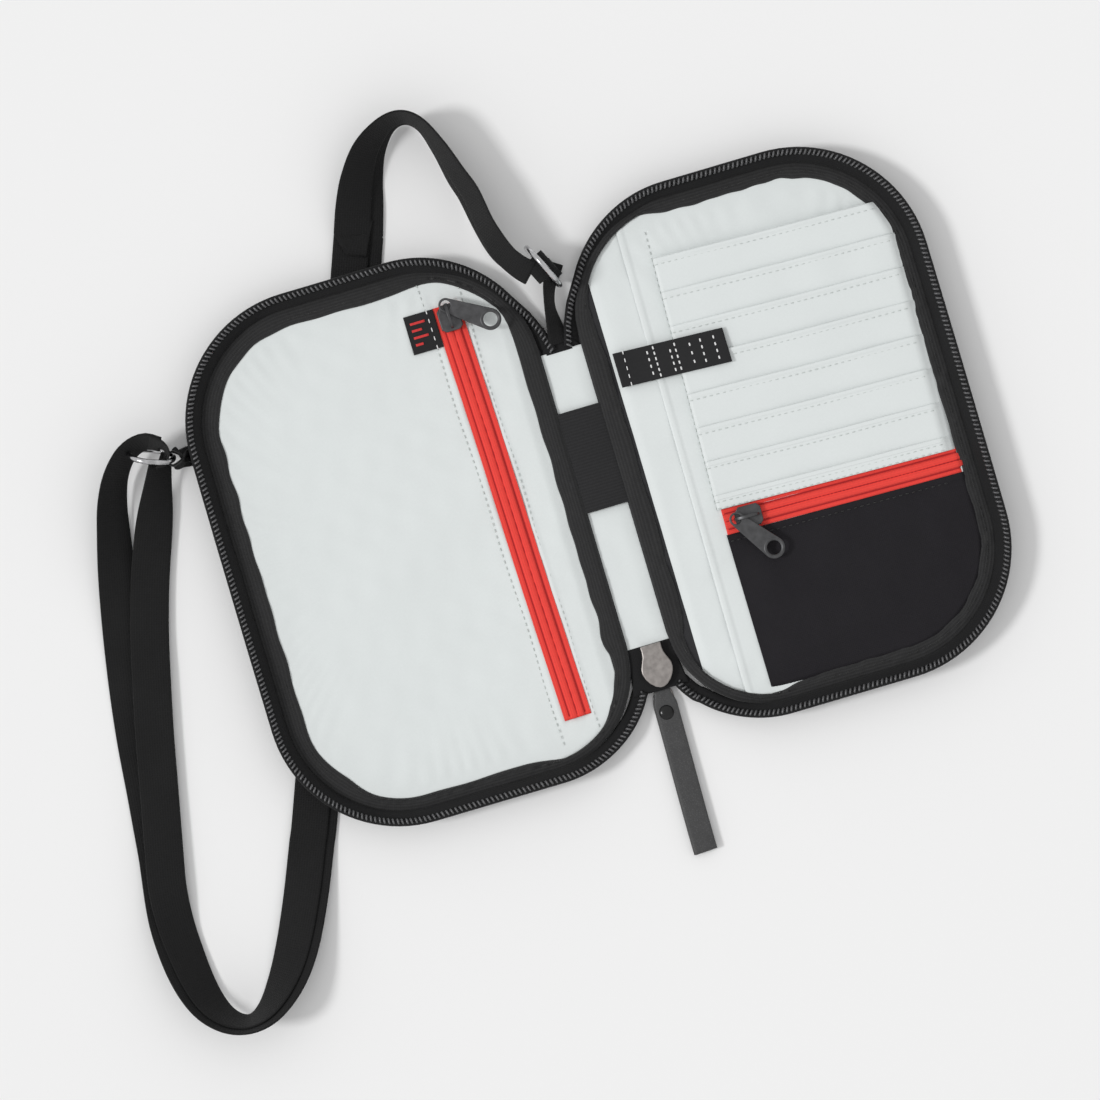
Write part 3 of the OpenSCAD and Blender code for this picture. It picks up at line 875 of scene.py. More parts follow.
    def build_binding(self) -> None:
        """Binding tape folded over the seam, with an uneven inner edge and a row of thread."""
        line = self.band_line(900)
        n = plan_normals(line, closed=True)
        s = circle(len(line))[:, None]
        seed = 3 if self.side is Side.LEFT else 8
        wave = ripple(60 * np.cos(s), 60 * np.sin(s), seed, 9, 0.28)
        wave2 = ripple(60 * np.cos(s), 60 * np.sin(s), seed + 1, 16, 0.22)
        across = np.array([-3.3, -3.0, -1.9, -0.4, 1.1, 2.6, 3.9, 4.9, 5.3, 4.8, 1, -2.8])
        inner = smooth((across - 0.5) / 3.5)
        across = across * np.where(across > 0, self.band_reach / 5.3, 1.0)
        height = np.array([4.0, 4.8, 5.5, 5.8, 5.75, 5.8, 5.7, 5.5, 5.1, 4.5, 4.4, 3.8])
        high = np.abs(line[:, 1:])
        narrow = (self.spine_trim * smooth((22 - line[:, :1]) / 8) * smooth((60 - high) / 15)
                  + self.corner_trim * smooth((56 - line[:, :1]) / 22)
                  * smooth((high - 52) / 22)
                  + self.low_trim * smooth((-line[:, 1:] - 78) / 10))
        off = across[None] + inner[None] * (wave - narrow)
        crease = ripple(30 * np.cos(9 * s), 30 * np.sin(9 * s), seed + 2, 14, 0.16)
        face = np.array([0, 0.5, 1, 1, 1, 1, 1, 1, 0.5, 0, 0, 0])
        z = height[None] + (0.14 * wave2 + 0.2 * wave) * face + crease * face * np.cos(across)
        z = z - self.spine_drop(line[:, :1])
        grid = raised(line[:, None] + n[:, None] * off[..., None], z)
        step = np.linspace(0, length_of(self.closed(line)), len(line))[:, None]
        uv = points(step, across[None])
        obj = tube(f"{self.side.word}_binding_tape", self.place(grid), closed_path=True, uv=uv)
        replaced = [f"{self.side.word}_binding"]
        if self.side is Side.LEFT:
            replaced.append("spine_bindings")
        dress(obj, "binding_grey", "", "binding", *replaced)
        self.bend_at_fold(obj)
        p = line + n * (self.band_reach - 2.5)
        places, angles = stitch_row(raised(p, 5.78), 2.6)
        shown = ~((places[:, 0] < 58) & (np.abs(places[:, 1]) > 48) | (places[:, 0] < 21))
        places, angles = places[shown], angles[shown] * self.side.value
        thread = capsules(f"{self.side.word}_binding_thread", self.place(places), angles, 1.7, 0.16)
        dress(thread, "thread_black", self.side.body, "binding")

    def panel_height(self, x: Array, y: Array, base: float, seed: int) -> Array:
        """Height of a sewn cloth panel: a slight crown, broad ripples and puckers at its seams."""
        rim = self.edge_distance(x, y, 10.0)
        around = np.arctan2(y, x - 75)
        pucker = 0.26 * np.exp(-rim / 8.0) * np.sin(70 * around + 5 * np.sin(7 * around + seed))
        edge = smooth((rim - 2.0) / 6)
        return (base + edge * (ripple(x, y, seed, 42, 0.16) + ripple(x, y, seed + 5, 15, 0.07))
                + pucker * smooth((rim - 2.5) / 4) * smooth((x - 20) / 14)
                + 0.12 * smooth(rim / 25)
                - self.spine_drop(x))


@dataclass
class ZipPocket:
    """Left inside: cloth panel with the long red zip, its tag and its seams."""

    half: Half
    zip_x: float = -33.7
    zip_turn: float = 1.3
    zip_len: float = 157.0
    zip_w: float = 10.0

    def on_zip(self, along: Array, across: Array | float) -> tuple[Array, Array]:
        """Plan place of a point given along the zip (up) and across it (right)."""
        return spin(across, along, self.zip_turn, (self.zip_x, 0.0))

    def zip_offset(self, x: Array, y: Array) -> Array:
        """Distance across the zip of a plan point."""
        return spin(x - self.zip_x, y, -self.zip_turn)[0]

    def build(self) -> None:
        """Builds the panel, tag and thread."""
        self.build_panel()
        self.build_tag()
        rows = []
        for across in (-7.9, 6.3):
            y = np.linspace(-86, 88, 160)
            px, py = self.on_zip(y, across + 0.25 * np.sin(y / 9))
            keep = self.half.edge_distance(-px, py, 10) > 0.6
            rows.append(points(px, py, 5.2)[keep])
        thread = sew("left_pocket_thread", rows, 2.35, 1.3, 0.17)
        dress(thread, "thread_pale", "left_half", "lining")

    def build_panel(self) -> None:
        """Pocket panel, raised in two soft welts beside the zip."""
        x, y = self.half.region(7.6, 150, 170, x_from=14.4)
        z = self.half.panel_height(x, y, 4.85, 11)
        d = np.abs(self.zip_offset(-x, y)) - self.zip_w / 2
        inside = (np.abs(y) < self.zip_len / 2 + 1)
        z = z + inside * (0.32 * np.exp(-((d - 0.9) / 0.9) ** 2) - 0.25 * smooth((0.3 - d) / 0.6))
        top = self.half.place(points(x, y, z))
        obj = shell("left_pocket_cloth", top, 0.35)
        dress(obj, "lining_mint", "left_half", "lining", "left_pocket_panel", "left_lining")

    def build_tag(self) -> None:
        """Shielding tag: a black woven patch with plain raised bars and a white seam."""
        cx, cy = -46.0, 71.2
        u, v = lattice((-5.6, 5.6, 30), (-7.1, 7.1, 36))
        corner = ((np.abs(u) / 5.6) ** 10) * ((np.abs(v) / 7.1) ** 10)
        z = 5.75 + ripple(u, v, 5, 9, 0.05) - 0.25 * corner
        obj = shell("shield_tag_cloth", points(cx + u, cy + v, z), 0.5)
        dress(obj, "label_black", "left_half", "label", "shield_tag")
        for k, long in enumerate((6.2, 4.2, 6.2, 3.2)):
            y = cy + 3.9 - 2.6 * k
            route = np.array([[cx - 3.9, y, 5.84, 0], [cx - 3.9 + long * 0.9, y, 5.84, 0]])
            bar = band(f"tag_bar_{k + 1}", evenly(route, 8), 0.9, 0.22)
            dress(bar, "label_mark", "left_half", "label")
        row = np.array([[cx + 3.4, cy - 6.6, 5.84], [cx + 3.1, cy + 6.6, 5.84]])
        dress(sew("tag_thread", [row], 2.4, 1.6, 0.2), "thread_white", "left_half", "label")


@dataclass
class RedZip:
    """Red pocket zip: two tape halves that meet over the hidden coil."""

    name: str
    body: str
    centre: tuple[float, float]
    turn: float
    length: float
    width: float
    tucked: bool = False

    def build(self, *nodes: str) -> None:
        """Builds the tape with its grooves, and the darker red strips of painted shade in them.

        The height across the tape is 0.95 mm in the middle over the coil, falls to the flat tape
        beyond it and dips in a groove on each side and along the centre.
        """
        n, m = 140, 41
        along = np.linspace(-self.length / 2, self.length / 2, n)[:, None]
        across = np.linspace(-self.width / 2, self.width / 2, m)[None]
        bulge = 0.75 * smooth((2.9 - np.abs(across)) / 0.9)
        centre = 0.5 * np.exp(-(across / 0.42) ** 2)
        sides = 0.22 * np.exp(-((np.abs(across) - 2.9) / 0.4) ** 2)
        z = 5.35 + bulge - centre - sides + 0.03 * np.sin(along / 5.0)
        teeth = 0.05 * np.sin(along * TAU / 1.5) * smooth((2.6 - np.abs(across)) / 0.5)
        if self.tucked:
            z = z - 0.75 * smooth((-along - self.length / 2 + 1.8) / 1.6)
        grid = self.turned(along, across + 0.12 * np.sin(along / 17), z + teeth)
        tape = shell(self.name + "_tape", grid, 0.3)
        dress(tape, "zip_red", self.body, "zip_red", *nodes)
        uv = points(along, across).reshape(-1, 2)
        both = np.vstack([uv, uv])
        index = np.empty(len(tape.data.loops), dtype=np.int32)
        tape.data.loops.foreach_get("vertex_index", index)
        tape.data.uv_layers["UVMap"].data.foreach_set("uv", (both[index] * MM).astype("f").ravel())
        # Darker red strips in the side grooves and the centre line: painted shade
        for k, off in enumerate((-2.9, 0.0, 2.9)):
            drop = 5.62 if k == 1 else 5.3
            a = np.linspace(-self.length / 2 + 1.2, self.length / 2 - 0.8, 120)
            route = raised(self.turned(a, off + 0.12 * np.sin(a / 17), drop), 0.0)
            strip = band(f"{self.name}_groove_{k + 1}", route, 0.75 if k == 1 else 0.6, 0.16)
            dress(strip, "zip_red_painted_shade", self.body, "zip_red")

    def turned(self, along: Array, across: Array, z: Array | float) -> Array:
        """Places points given along (up at no turn), across and up."""
        return points(*spin(across, along, self.turn, self.centre), z)


@dataclass
class PocketSlider:
    """Small zip slider with its bridge, and the puller that swings on its post."""

    name: str
    centre: tuple[float, float]
    turn: float
    puller_turn: float
    base: float = 5.8
    reach: float = 17.0

    def on_body(self, x: Array, y: Array) -> Array:
        """Plan points given on the slider's body."""
        return points(*spin(x, y, self.turn, self.centre))

    def on_puller(self, x: Array, y: Array) -> Array:
        """Plan points given on the puller, whose post is at zero."""
        return points(*spin(x, y, self.puller_turn, self.post))

    @property
    def post(self) -> tuple[float, float]:
        """Plan place of the post that the puller swings on."""
        return spin(0.0, 4.6, self.turn, self.centre)

    def build(self) -> None:
        """Builds body, bridge and puller."""
        body_name = f"{self.name}_slider"
        x = np.array([-2.6, -4.0, -4.0, -2.2, 2.2, 4.0, 4.0, 2.6])
        y = np.array([-5.0, -3.6, 1.6, 5.0, 5.0, 1.6, -3.6, -5.0])
        outline = self.on_body(*softened(points(x, y), 64).T)
        crown = plate(f"{self.name}_slider_top", [outline], self.base + 1.65, 1.1, 0.4)
        dress(crown, "gunmetal", body_name, "gunmetal", body_name)
        for k, s in enumerate((-1, 1)):
            wx = np.array([2.5, 4.0, 4.0, 2.5]) * s
            wy = np.array([-4.6, -3.8, 3.0, 4.4])
            w = self.on_body(wx, wy)
            wing = plate(f"{self.name}_slider_wing_{k + 1}", [w if s > 0 else w[::-1]],
                         self.base + 0.75, 1.2, 0.3)
            dress(wing, "gunmetal", body_name, "gunmetal")
        t = np.linspace(0, 1, 30)
        along = 5.0 - 8.7 * t
        height = self.base + 2.1 + 2.9 * np.sin(np.pi * t) ** 0.45
        route = raised(raised(self.on_body(0.0, along), height), 0.0)
        bridge = band(f"{self.name}_slider_bridge", route, 1.35 - 0.45 * t, 0.8)
        dress(bridge, "gunmetal", body_name, "gunmetal")
        self.build_puller()

    def build_puller(self) -> None:
        """Puller: two round ends joined by straight tangents, with an eye and an end hole."""
        r0, r1, d = 2.6, 4.0, self.reach
        b = math.degrees(math.asin((r1 - r0) / d))
        outer = np.vstack([arc(d, 0, r1, -90 - b, 90 + b, 40), arc(0, 0, r0, 90 + b, 270 - b, 30)])
        holes = [arc(0, 0, 1.8, 0, 345, 32), arc(d, 0, 2.6, 0, 350, 36)]
        loops = [self.on_puller(*loop.T) for loop in [outer] + holes]
        obj = plate(f"{self.name}_puller_plate", loops, self.base + 3.65, 0.9, 0.28)
        dress(obj, "gunmetal", f"{self.name}_puller", "gunmetal", f"{self.name}_puller")
        rim = circle(60)[:, None]
        sec = circle(10)[None]
        rr = 3.3 + 0.42 * np.cos(sec)
        plan = self.on_puller(d + rr * np.cos(rim), rr * np.sin(rim))
        z = self.base + 4.05 + 0.2 * np.sin(sec)
        ring = tube(f"{self.name}_puller_rim", raised(plan, z), closed_path=True)
        dress(ring, "gunmetal", f"{self.name}_puller", "gunmetal")


@dataclass
class CardPanel:
    """Right inside: slip panel, card pockets, red zip pocket and woven label."""

    half: Half
    turn: float = -2.0
    left: float = 38.5
    width: float = 89.0
    top: float = 74.5
    pitch: float = 12.7
    count: int = 8
    foot: float = -19.6
    layer: float = 0.6
    fold: float = 30.0
    zip_centre: tuple[float, float] = (83.5, -27.0)

    def turned(self, x: Array, y: Array, z: Array) -> Array:
        """Turns the panel's own points about the spine origin."""
        return points(*spin(x, y, self.turn), z)

    def build(self) -> None:
        """Builds every layer of the right inside."""
        self.build_lining()
        self.build_slip()
        for k in range(self.count):
            self.build_card_pocket(k)
        self.build_seams()
        self.build_zip_pocket()
        self.build_label()

    def build_lining(self) -> None:
        """Lining beneath all pockets; it shows beside the spine."""
        x, y = self.half.region(7.6, 90, 150, x_from=12.6)
        z = self.half.panel_height(x, y, 4.25, 21)
        obj = shell("right_lining_cloth", self.half.place(points(x, y, z)), 0.35)
        dress(obj, "lining_mint", "right_half", "lining", "right_lining")

    def build_slip(self) -> None:
        """Slip panel whose folded edge makes the long pocket beside the spine."""
        x, y = self.half.region(7.6, 110, 150, x_from=self.fold)
        z = self.half.panel_height(x, y, 4.95, 31)
        edge = x - self.fold
        z = z + 0.35 * smooth((3.0 - edge) / 1.2) - 0.4 * smooth((0.5 - edge) / 0.5)
        lean = 1.2 * smooth((60 - x) / 30) * (y / 95)
        top = self.half.place(np.stack([x + lean, y, z], -1))
        obj = shell("slip_panel_cloth", top, 0.4)
        dress(obj, "lining_mint", "right_half", "lining", "slip_panel")

    @property
    def slope(self) -> float:
        """How steeply a card pocket rises towards its mouth."""
        return self.layer / self.pitch

    def pocket(self, k: int) -> tuple[float, float, float]:
        """Mouth, depth and height at the foot of card pocket k."""
        top = self.top - k * self.pitch
        depth = min(3 * self.pitch, top - self.foot)
        return top, depth, 5.2 + (3 * self.pitch - depth) * self.slope

    def build_card_pocket(self, k: int) -> None:
        """One card pocket: its mouth has a folded hem and gapes a little in the middle."""
        top, depth, low = self.pocket(k)
        u, v = np.meshgrid(np.linspace(0, 1, 70), np.linspace(0, 1, 56) ** 0.6, indexing="ij")
        sag = 0.35 * np.sin(np.pi * u) ** 2
        y = top - depth + v * (depth - sag * v)
        x = self.left + u * (self.reach(y) - self.left)
        mouth = top - y
        hem = 0.22 * smooth((1.9 - mouth) / 0.35) - 0.25 * smooth((0.35 - mouth) / 0.35)
        gape = 0.35 * np.sin(np.pi * u) ** 1.5 * smooth(1 - mouth / 9)
        z = (low + (y - (top - depth)) * self.slope + 0.32 + hem + gape
             + ripple(x, y, 40 + k, 30, 0.1))
        z = z - (z - 5.05 - 0.02 * k) * smooth((u - 0.95) / 0.05)
        obj = shell(f"card_pocket_{k + 1}", self.turned(x, y, z), 0.36)
        dress(obj, "lining_mint", "right_half", "lining", f"card_slot_{k + 1}")

    def reach(self, y: Array) -> Array:
        """Right end of the card panel at its own height y: it runs beneath the binding."""
        return np.minimum(self.left + self.width,
                          self.half.side_limit(y + 110 * math.radians(self.turn), 9.4))

    def build_seams(self) -> None:
        """Thread: a row under each pocket mouth, one at the side and one over the zip."""
        rows = []
        xs = np.linspace(self.left + 0.8, self.left + self.width - 0.8, 90)
        for k in range(self.count):
            top, depth, low = self.pocket(k)
            u = (xs - self.left) / self.width
            y = top - 2.5 - 0.35 * np.sin(np.pi * u) ** 2
            z = (low + (y - (top - depth)) * self.slope + 0.36 + 0.25 * np.sin(np.pi * u) ** 1.5)
            rows.append(self.turned(xs, y, z)[xs < self.reach(y) - 4])
        y = np.full_like(xs, self.top - 93.7)
        rows.append(self.turned(xs, y, 7.45)[xs < self.reach(y) - 4])
        ys = np.linspace(-19, 84, 90)
        rows.append(self.turned(self.left - 0.2, ys, 5.4))
        thread = sew("card_thread", rows, 2.35, 1.25, 0.17)
        dress(thread, "thread_pale", "right_half", "lining")

    def under_zip(self, x: Array, drop: float) -> Array:
        """Height in plan of the line that lies that far below the middle of the red zip."""
        return (self.zip_centre[1] - drop + (x - self.zip_centre[0]) * math.tan(math.radians(-1.4)))

    def build_zip_pocket(self) -> None:
        """Black cloth pocket below the red zip, with a folded upper edge and slack puckers."""
        x, y = self.half.region(9.0, 110, 120, x_from=38.5)
        top_edge = self.under_zip(x, 4.7)
        low_edge = y[:, :1]
        v = np.linspace(0, 1, 120)[None]
        y = low_edge + (top_edge - low_edge) * v
        gap = top_edge - y
        z = (5.75 + ripple(x, y, 51, 24, 0.16) + ripple(x, y, 53, 9, 0.04)
             + 0.25 * smooth((2.6 - gap) / 0.4) - 0.3 * smooth((0.3 - gap) / 0.3)
             + 0.8 * smooth((x - 38.5) / 12) * smooth((124 - x) / 14) * smooth((y + 86) / 16)
             * smooth(gap / 14) - 0.9 * smooth((2.6 - self.half.edge_distance(x, y, 9.0)) / 1.6))
        obj = shell("zip_pocket_cloth", self.half.place(points(x, y, z)), 0.5)
        dress(obj, "pocket_black", "right_half", "pocket_black", "zip_pocket_panel")
        xs = np.linspace(40, 120, 90)
        row = points(xs, self.under_zip(xs, 7.2), 6.15)
        dress(sew("zip_pocket_thread", [row], 2.3, 1.3, 0.17), "thread_black",
              "right_half", "pocket_black")

    @staticmethod
    def on_label(u: Array | float, v: Array, lift: float) -> Array:
        """Points on the care label: u from its sewn end and v across it, both from 0 to 1."""
        z = 6.4 + lift + 1.9 * smooth((u - 0.1) / 0.6) + 0.25 * u**4 + 0.08 * np.sin(9 * u + 2 * v)
        return points(17.4 + 40.8 * u, 31.4 + 12.8 * v - 2.2 * u, z)

    def build_label(self) -> None:
        """Blank woven care label: sewn at its spine end, with a slight curl at the free end."""
        obj = shell("care_label_cloth", self.on_label(*lattice((0, 1, 50), (0, 1, 20)), 0.0), 0.28)
        dress(obj, "label_black", "right_half", "label", "care_label")
        marks = []
        for u, v0, v1 in ((0.30, 0.2, 0.8), (0.36, 0.1, 0.9), (0.50, 0.15, 0.7),
                          (0.55, 0.15, 0.85), (0.68, 0.25, 0.75), (0.78, 0.2, 0.8),
                          (0.90, 0.2, 0.8)):
            marks.append(self.on_label(u, np.linspace(v0, v1, 6), 0.03))
        dress(sew("care_label_marks", marks, 1.7, 1.25, 0.3), "thread_white", "right_half", "label")
        row = np.array([[21.0, 31.8, 6.75], [21.2, 43.6, 6.75]])
        dress(sew("care_label_thread", [row], 2.2, 1.5, 0.2), "thread_white", "right_half", "label")


@dataclass
class Spine:
    """Spine panel: outer cloth, grey lining strip and the elastic pen loop."""


    def build(self) -> None:
        """Builds the strip's layers."""
        u, v = lattice((-8.4, 8.4, 20), (-75, 56, 120))
        low = 0.5 * (np.abs(v + 9.5) / 65.5) ** 12
        obj = shell("spine_skin", points(u, v, 1.5), 0, points(u, v, low))
        dress(obj, "cover_nylon", "spine", "cover_fabric", "spine_cover")
        u, v = lattice((-8.6, 8.6, 30), (-61.5, 51.0, 160))
        rim = 8.6 - np.abs(u)
        z = (2.15 + ripple(u, v, 61, 14, 0.12) + 0.12 * np.exp(-rim / 1.5) * np.sin(v * 1.9)
             + 0.35 * smooth(rim / 6))
        obj = shell("spine_lining_cloth", points(u, v, z), 0.5)
        dress(obj, "lining_mint", "spine", "lining", "spine_lining")
        self.build_pen_loop()
        self.build_zip_vees()

    def build_pen_loop(self) -> None:
        """Elastic pen loop: a wide band over the strip, bowed up to let a pen through."""
        u, v = lattice((-1, 1, 40), (-8.7, 28.8, 60))
        x = 8.7 * u
        arch = 1.15 * np.sqrt(np.clip(1 - u**2, 0, 1)) ** 0.8
        hem = 0.12 * smooth((1.2 - np.minimum(v + 8.7, 28.8 - v)) / 0.4)
        z = 3.0 + arch + hem + ripple(x, v, 71, 18, 0.05)
        obj = shell("pen_loop_elastic", np.stack([x, v, z], -1), 0.55)
        dress(obj, "elastic_black", "spine", "elastic", "pen_loop")

    def build_zip_vees(self) -> None:
        """Cloth patches under the zip ends, where both tapes are sewn into the spine."""
        for name, y0, y1, w0, w1, node in (
                ("zip_top_patch", 50.4, 57.0, 7.6, 3.4, "zip_top_ends"),
                ("zip_bottom_patch", -60.5, -77.7, 8.2, 10.4, "zip_bottom_ends")):
            t, u = lattice((0, 1, 24), (-1, 1, 24))
            x = u * (w0 + (w1 - w0) * t)
            y = y0 + (y1 - y0) * t
            z = 2.3 + 0.35 * (1 - u**2) + ripple(x, y, 81, 5, 0.08)
            obj = shell(name, points(x, y, z), 0.6)
            dress(obj, "zip_tape_black", "spine", "zip_black", node)


@dataclass
class MainSlider:
    """Main zip slider with its leather pull."""

    x: float = 0.6

    def shield(self) -> Array:
        """Shield outline: narrow neck at the top, wide shoulders and a rounded foot."""
        half = np.array([[3.9, 0.4], [3.8, -1.6], [4.0, -3.4], [4.9, -5.6], [5.7, -7.6],
                         [5.8, -9.4], [5.2, -11.4], [4.0, -13.4], [2.2, -15.0], [0.7, -15.7]])
        return softened(np.vstack([half, half[::-1] * [-1, 1]]), 130) + [self.x, -61.0]

    def build(self) -> None:
        """Builds both plates, the post, the bail, the pull and the rivet."""
        loop = self.shield()[::-1]
        neck = np.array([[-1.6, -66.4], [2.8, -66.4], [2.8, -61.2], [-1.6, -61.2]])
        for name, outline, z, thickness, bevel, nodes in (
                ("upper", loop, 4.5, 1.3, 0.5, ("main_slider",)),
                ("lower", loop, 1.8, 0.9, 0.3, ()), ("post", neck, 3.1, 2.4, 0.3, ())):
            obj = plate(f"main_slider_{name}", [outline], z, thickness, bevel)
            dress(obj, "slider_grey", "spine", "slider_metal", *nodes)
        self.build_bail()
        self.build_pull()

    def build_bail(self) -> None:
        """Wire bail between the slider and the pull: a rounded rectangle of round wire."""
        a = circle(72)
        line = points(self.x + 2.6 * squared(np.cos(a), 0.6), -80.8 + 3.1 * squared(np.sin(a), 0.6))
        n = plan_normals(line, closed=True)
        b = circle(10)
        grid = raised(line[:, None] + n[:, None] * (0.6 * np.cos(b))[None, :, None],
                      1.5 + 0.6 * np.sin(b))
        obj = tube("pull_bail_wire", grid, closed_path=True)
        dress(obj, "slider_grey", "main_pull", "slider_metal", "pull_bail")

    def build_pull(self) -> None:
        """Leather pull: two layers folded over the bail, with a square end cut a little askew.

        The top layer narrows over the bail: half width = 3.0 there and 4.15 beyond it.
        """
        for name, z0, side, start, body_w in (("upper", 2.25, 0.25, -77.6, 4.15),
                                              ("lower", 1.0, -0.35, -78.6, 4.05)):
            n, m = 90, 32
            t = np.linspace(0, 1, n)
            y = start - (138.6 + start) * t
            neck = smooth((-78.4 - y) / 5.0)
            half = (3.0 + (body_w - 3.0) * neck) * (0.9 + 0.1 * smooth(t / 0.01))
            a = circle(m)
            sx, sz = squared(np.cos(a), 0.3), squared(np.sin(a), 0.45)
            ends = smooth(np.minimum(t, 1 - t) / 0.008 + 0.35)
            x = self.x + side - 0.8 - 1.0 * smooth((-78 - y) / 60)
            across = half[:, None] * sx[None]
            askew = 0.05 * t[:, None] * across
            z = z0 + 0.6 * ends[:, None] * sz[None] + 0.05 * np.sin(y / 7)[:, None]
            grid = points(x[:, None] + across, y[:, None] + askew, z)
            obj = tube(f"leather_pull_{name}", grid)
            replaced = ("leather_pull",) if name == "upper" else ()
            dress(obj, "leather_grey", "main_pull", "leather", *replaced)
        r = np.linspace(0, 1, 14)[:, None]
        a = circle(40)[None]
        radius = 2.7 * np.sin(r * math.pi / 2)
        z = 2.8 + 1.25 * np.cos(r * math.pi / 2)
        dome = points(-0.6 + radius * np.cos(a), -86.0 + radius * np.sin(a), z)
        foot = dome[-1:].copy()
        foot[..., 2] = 2.3
        obj = tube("pull_rivet_dome", np.concatenate([dome[1:], foot]))
        dress(obj, "rivet_black", "main_pull", "rivet", "pull_rivet")


@dataclass
class Strap:
    """Neck strap with its rings, tabs and hidden adjuster.

    The route points repeat those of the frame: x, y, height and roll.
    """

    width: float = 13.2
    thickness: float = 0.9
    layer_shift: float = 1.6
    arch_shift: float = 2.4
    upper: tuple = (
        (-2.8, 79.8, 17.4, -10), (-6.9, 84.4, 16.0, -36), (-11.0, 91.6, 13.2, -50),
        (-13.8, 101, 11, -60), (-16, 114, 9.2, -62), (-18.5, 122, 9, -64), (-21.5, 133, 9.3, -70),
        (-25.5, 143, 9.8, -76), (-31, 147.5, 9.8, -76), (-38, 146.5, 9.2, -68),
        (-46, 140, 7.6, -50), (-51.5, 131, 5.4, -32), (-55.5, 121, 3.4, -14),
        (-59, 111, 1.8, -4), (-62, 103, 1.15, 0), (-98, 8, 1.15, 0))
    lower: tuple = (
        (-98.4, 7, 1.15, 0), (-131.3, -79.6, 1.15, 0), (-138, -96, 1.4, 2),
        (-145.6, -114, 2.6, 10), (-153.5, -130, 4.4, 22), (-161, -141, 6.4, 40),
        (-169, -148.5, 8.6, 60), (-177, -151, 9.6, 74), (-184.5, -147.5, 9.2, 66),
        (-190, -139.5, 7.8, 50), (-193.2, -127, 6, 36), (-194.2, -112, 4.2, 24))
    outer: tuple = (
        (-193.6, -96, 2.6, 10), (-192, -78, 1.6, 4), (-190.2, -60, 1.1, 0),
        (-188.3, -41, 1, 0), (-185.8, -23, 1, 0), (-182.6, -5, 1.3, 4), (-178.8, 13, 2.8, 14),
        (-174.6, 31, 5.2, 34), (-171.4, 43, 7.2, 46), (-167, 52.6, 8.8, 56),
        (-160.8, 59.2, 10.4, 61), (-153.8, 61.2, 11.2, 63), (-148.6, 58.6, 11.2, 66))
    inner: tuple = (
        (-192.4, -96, 4, 12), (-188.8, -78, 3.4, 8), (-185, -60, 3, 6), (-181, -41, 3, 6),
        (-176.8, -23, 2.6, 4), (-172.3, -5, 2, 3), (-166.8, 13, 2.2, 6), (-161.2, 28, 3.4, 16),
        (-157.6, 37, 4.8, 26), (-154.2, 45.5, 6.6, 42), (-151.0, 53, 8.6, 54))
    turn: tuple = (
        (-152.4, 61.0, 11.0, 66), (-148.8, 58.8, 10.8, 72), (-147.2, 55.8, 10, 80),
        (-148.6, 53.6, 9.4, 70), (-150.8, 53.6, 8.8, 60))
    top_ring: tuple = (2.3, 81.3, 2.7)
    ring_turn: float = -64.5

    def build(self) -> None:
        """Builds the straps, rings, tabs and adjuster."""
        runs = (
            ("strap_upper_front_web", self.upper, 0.5, "strap_upper_front", True),
            ("strap_upper_back_web", self.upper, -0.5, "strap_upper_back", True),
            ("strap_lower_outer_web", self.lower + self.outer, -0.5, "strap_lower_outer", False),
            ("strap_lower_inner_web", self.lower + self.inner, 0.5, "strap_lower_inner", False))
        for name, route, lift, node, upper in runs:
            self.build_run(name, np.array(route, float), lift, node, upper)
        route = through(np.array(self.turn, float), 60)
        obj = band("strap_turn_web", route, 12.0, self.thickness)
        dress(obj, "webbing_black", "side_ring", "webbing", "strap_turn")
        self.build_rings()
        self.build_tabs()

    def build_run(self, name: str, route: Array, lift: float, node: str, upper: bool) -> None:
        """One layer of the strap along its route, baked in place."""
        line = through(route, 260)
        step = np.linspace(0, 1, len(line))
        if upper:
            shift = -lift * 2 * self.arch_shift * smooth(step / 0.16)
            width = self.width - 4.4 * smooth((0.10 - step) / 0.10)
        else:
            shift = -lift * 2 * self.layer_shift * smooth((0.62 - step) / 0.08)
            width = (self.width + 0.8 * smooth((step - 0.45) / 0.05)
                     - 2.0 * smooth((step - 0.93) / 0.07))
        line = self.beside(line, shift)
        obj = band(name, line, width, self.thickness, lift)
        dress(obj, "webbing_black", "", "webbing", node)
        if upper:
            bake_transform(obj)
        else:
            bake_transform(obj)

    @staticmethod
    def beside(line: Array, shift: Array) -> Array:
        """The line moved sideways across its own width."""
        d = unit(np.gradient(line[:, :2], axis=0))
        roll = np.radians(line[:, 3])
        out = line.copy()
        out[:, 0] -= d[:, 1] * np.cos(roll) * shift
        out[:, 1] += d[:, 0] * np.cos(roll) * shift
        out[:, 2] += np.sin(roll) * shift
        return out

    def fold_strip(self, name: str, profile: tuple, u_from: float, u_to: float,
                   thickness: float = 1.0) -> bpy.types.Object:
        """Webbing folded through or round the top ring.

        Args:
            name: piece name.
            profile: middle line of the fold as (distance from the ring's plane, height).
            u_from, u_to: where it starts and ends along the ring's plane.
            thickness: thickness of the webbing.
        """
        line = through(raised(np.array(profile, float), 0.0), 70)
        n = plan_normals(line[:, :2])
        ends = np.sqrt(np.clip(1 - np.linspace(-1, 1, 70) ** 8, 0.1, 1))[:, None]
        outer = line[:, :2] + n * thickness / 2 * ends
        inner = line[:, :2] - n * thickness / 2 * ends
        loop = np.vstack([outer, inner[::-1]])
        u = np.linspace(u_from, u_to, 26)[:, None]
        v, z = loop[None, :, 0], loop[None, :, 1]
        grid = points(*spin(u, v, self.ring_turn, self.top_ring), z)
        return tube(name, grid, uv=points(v, u))

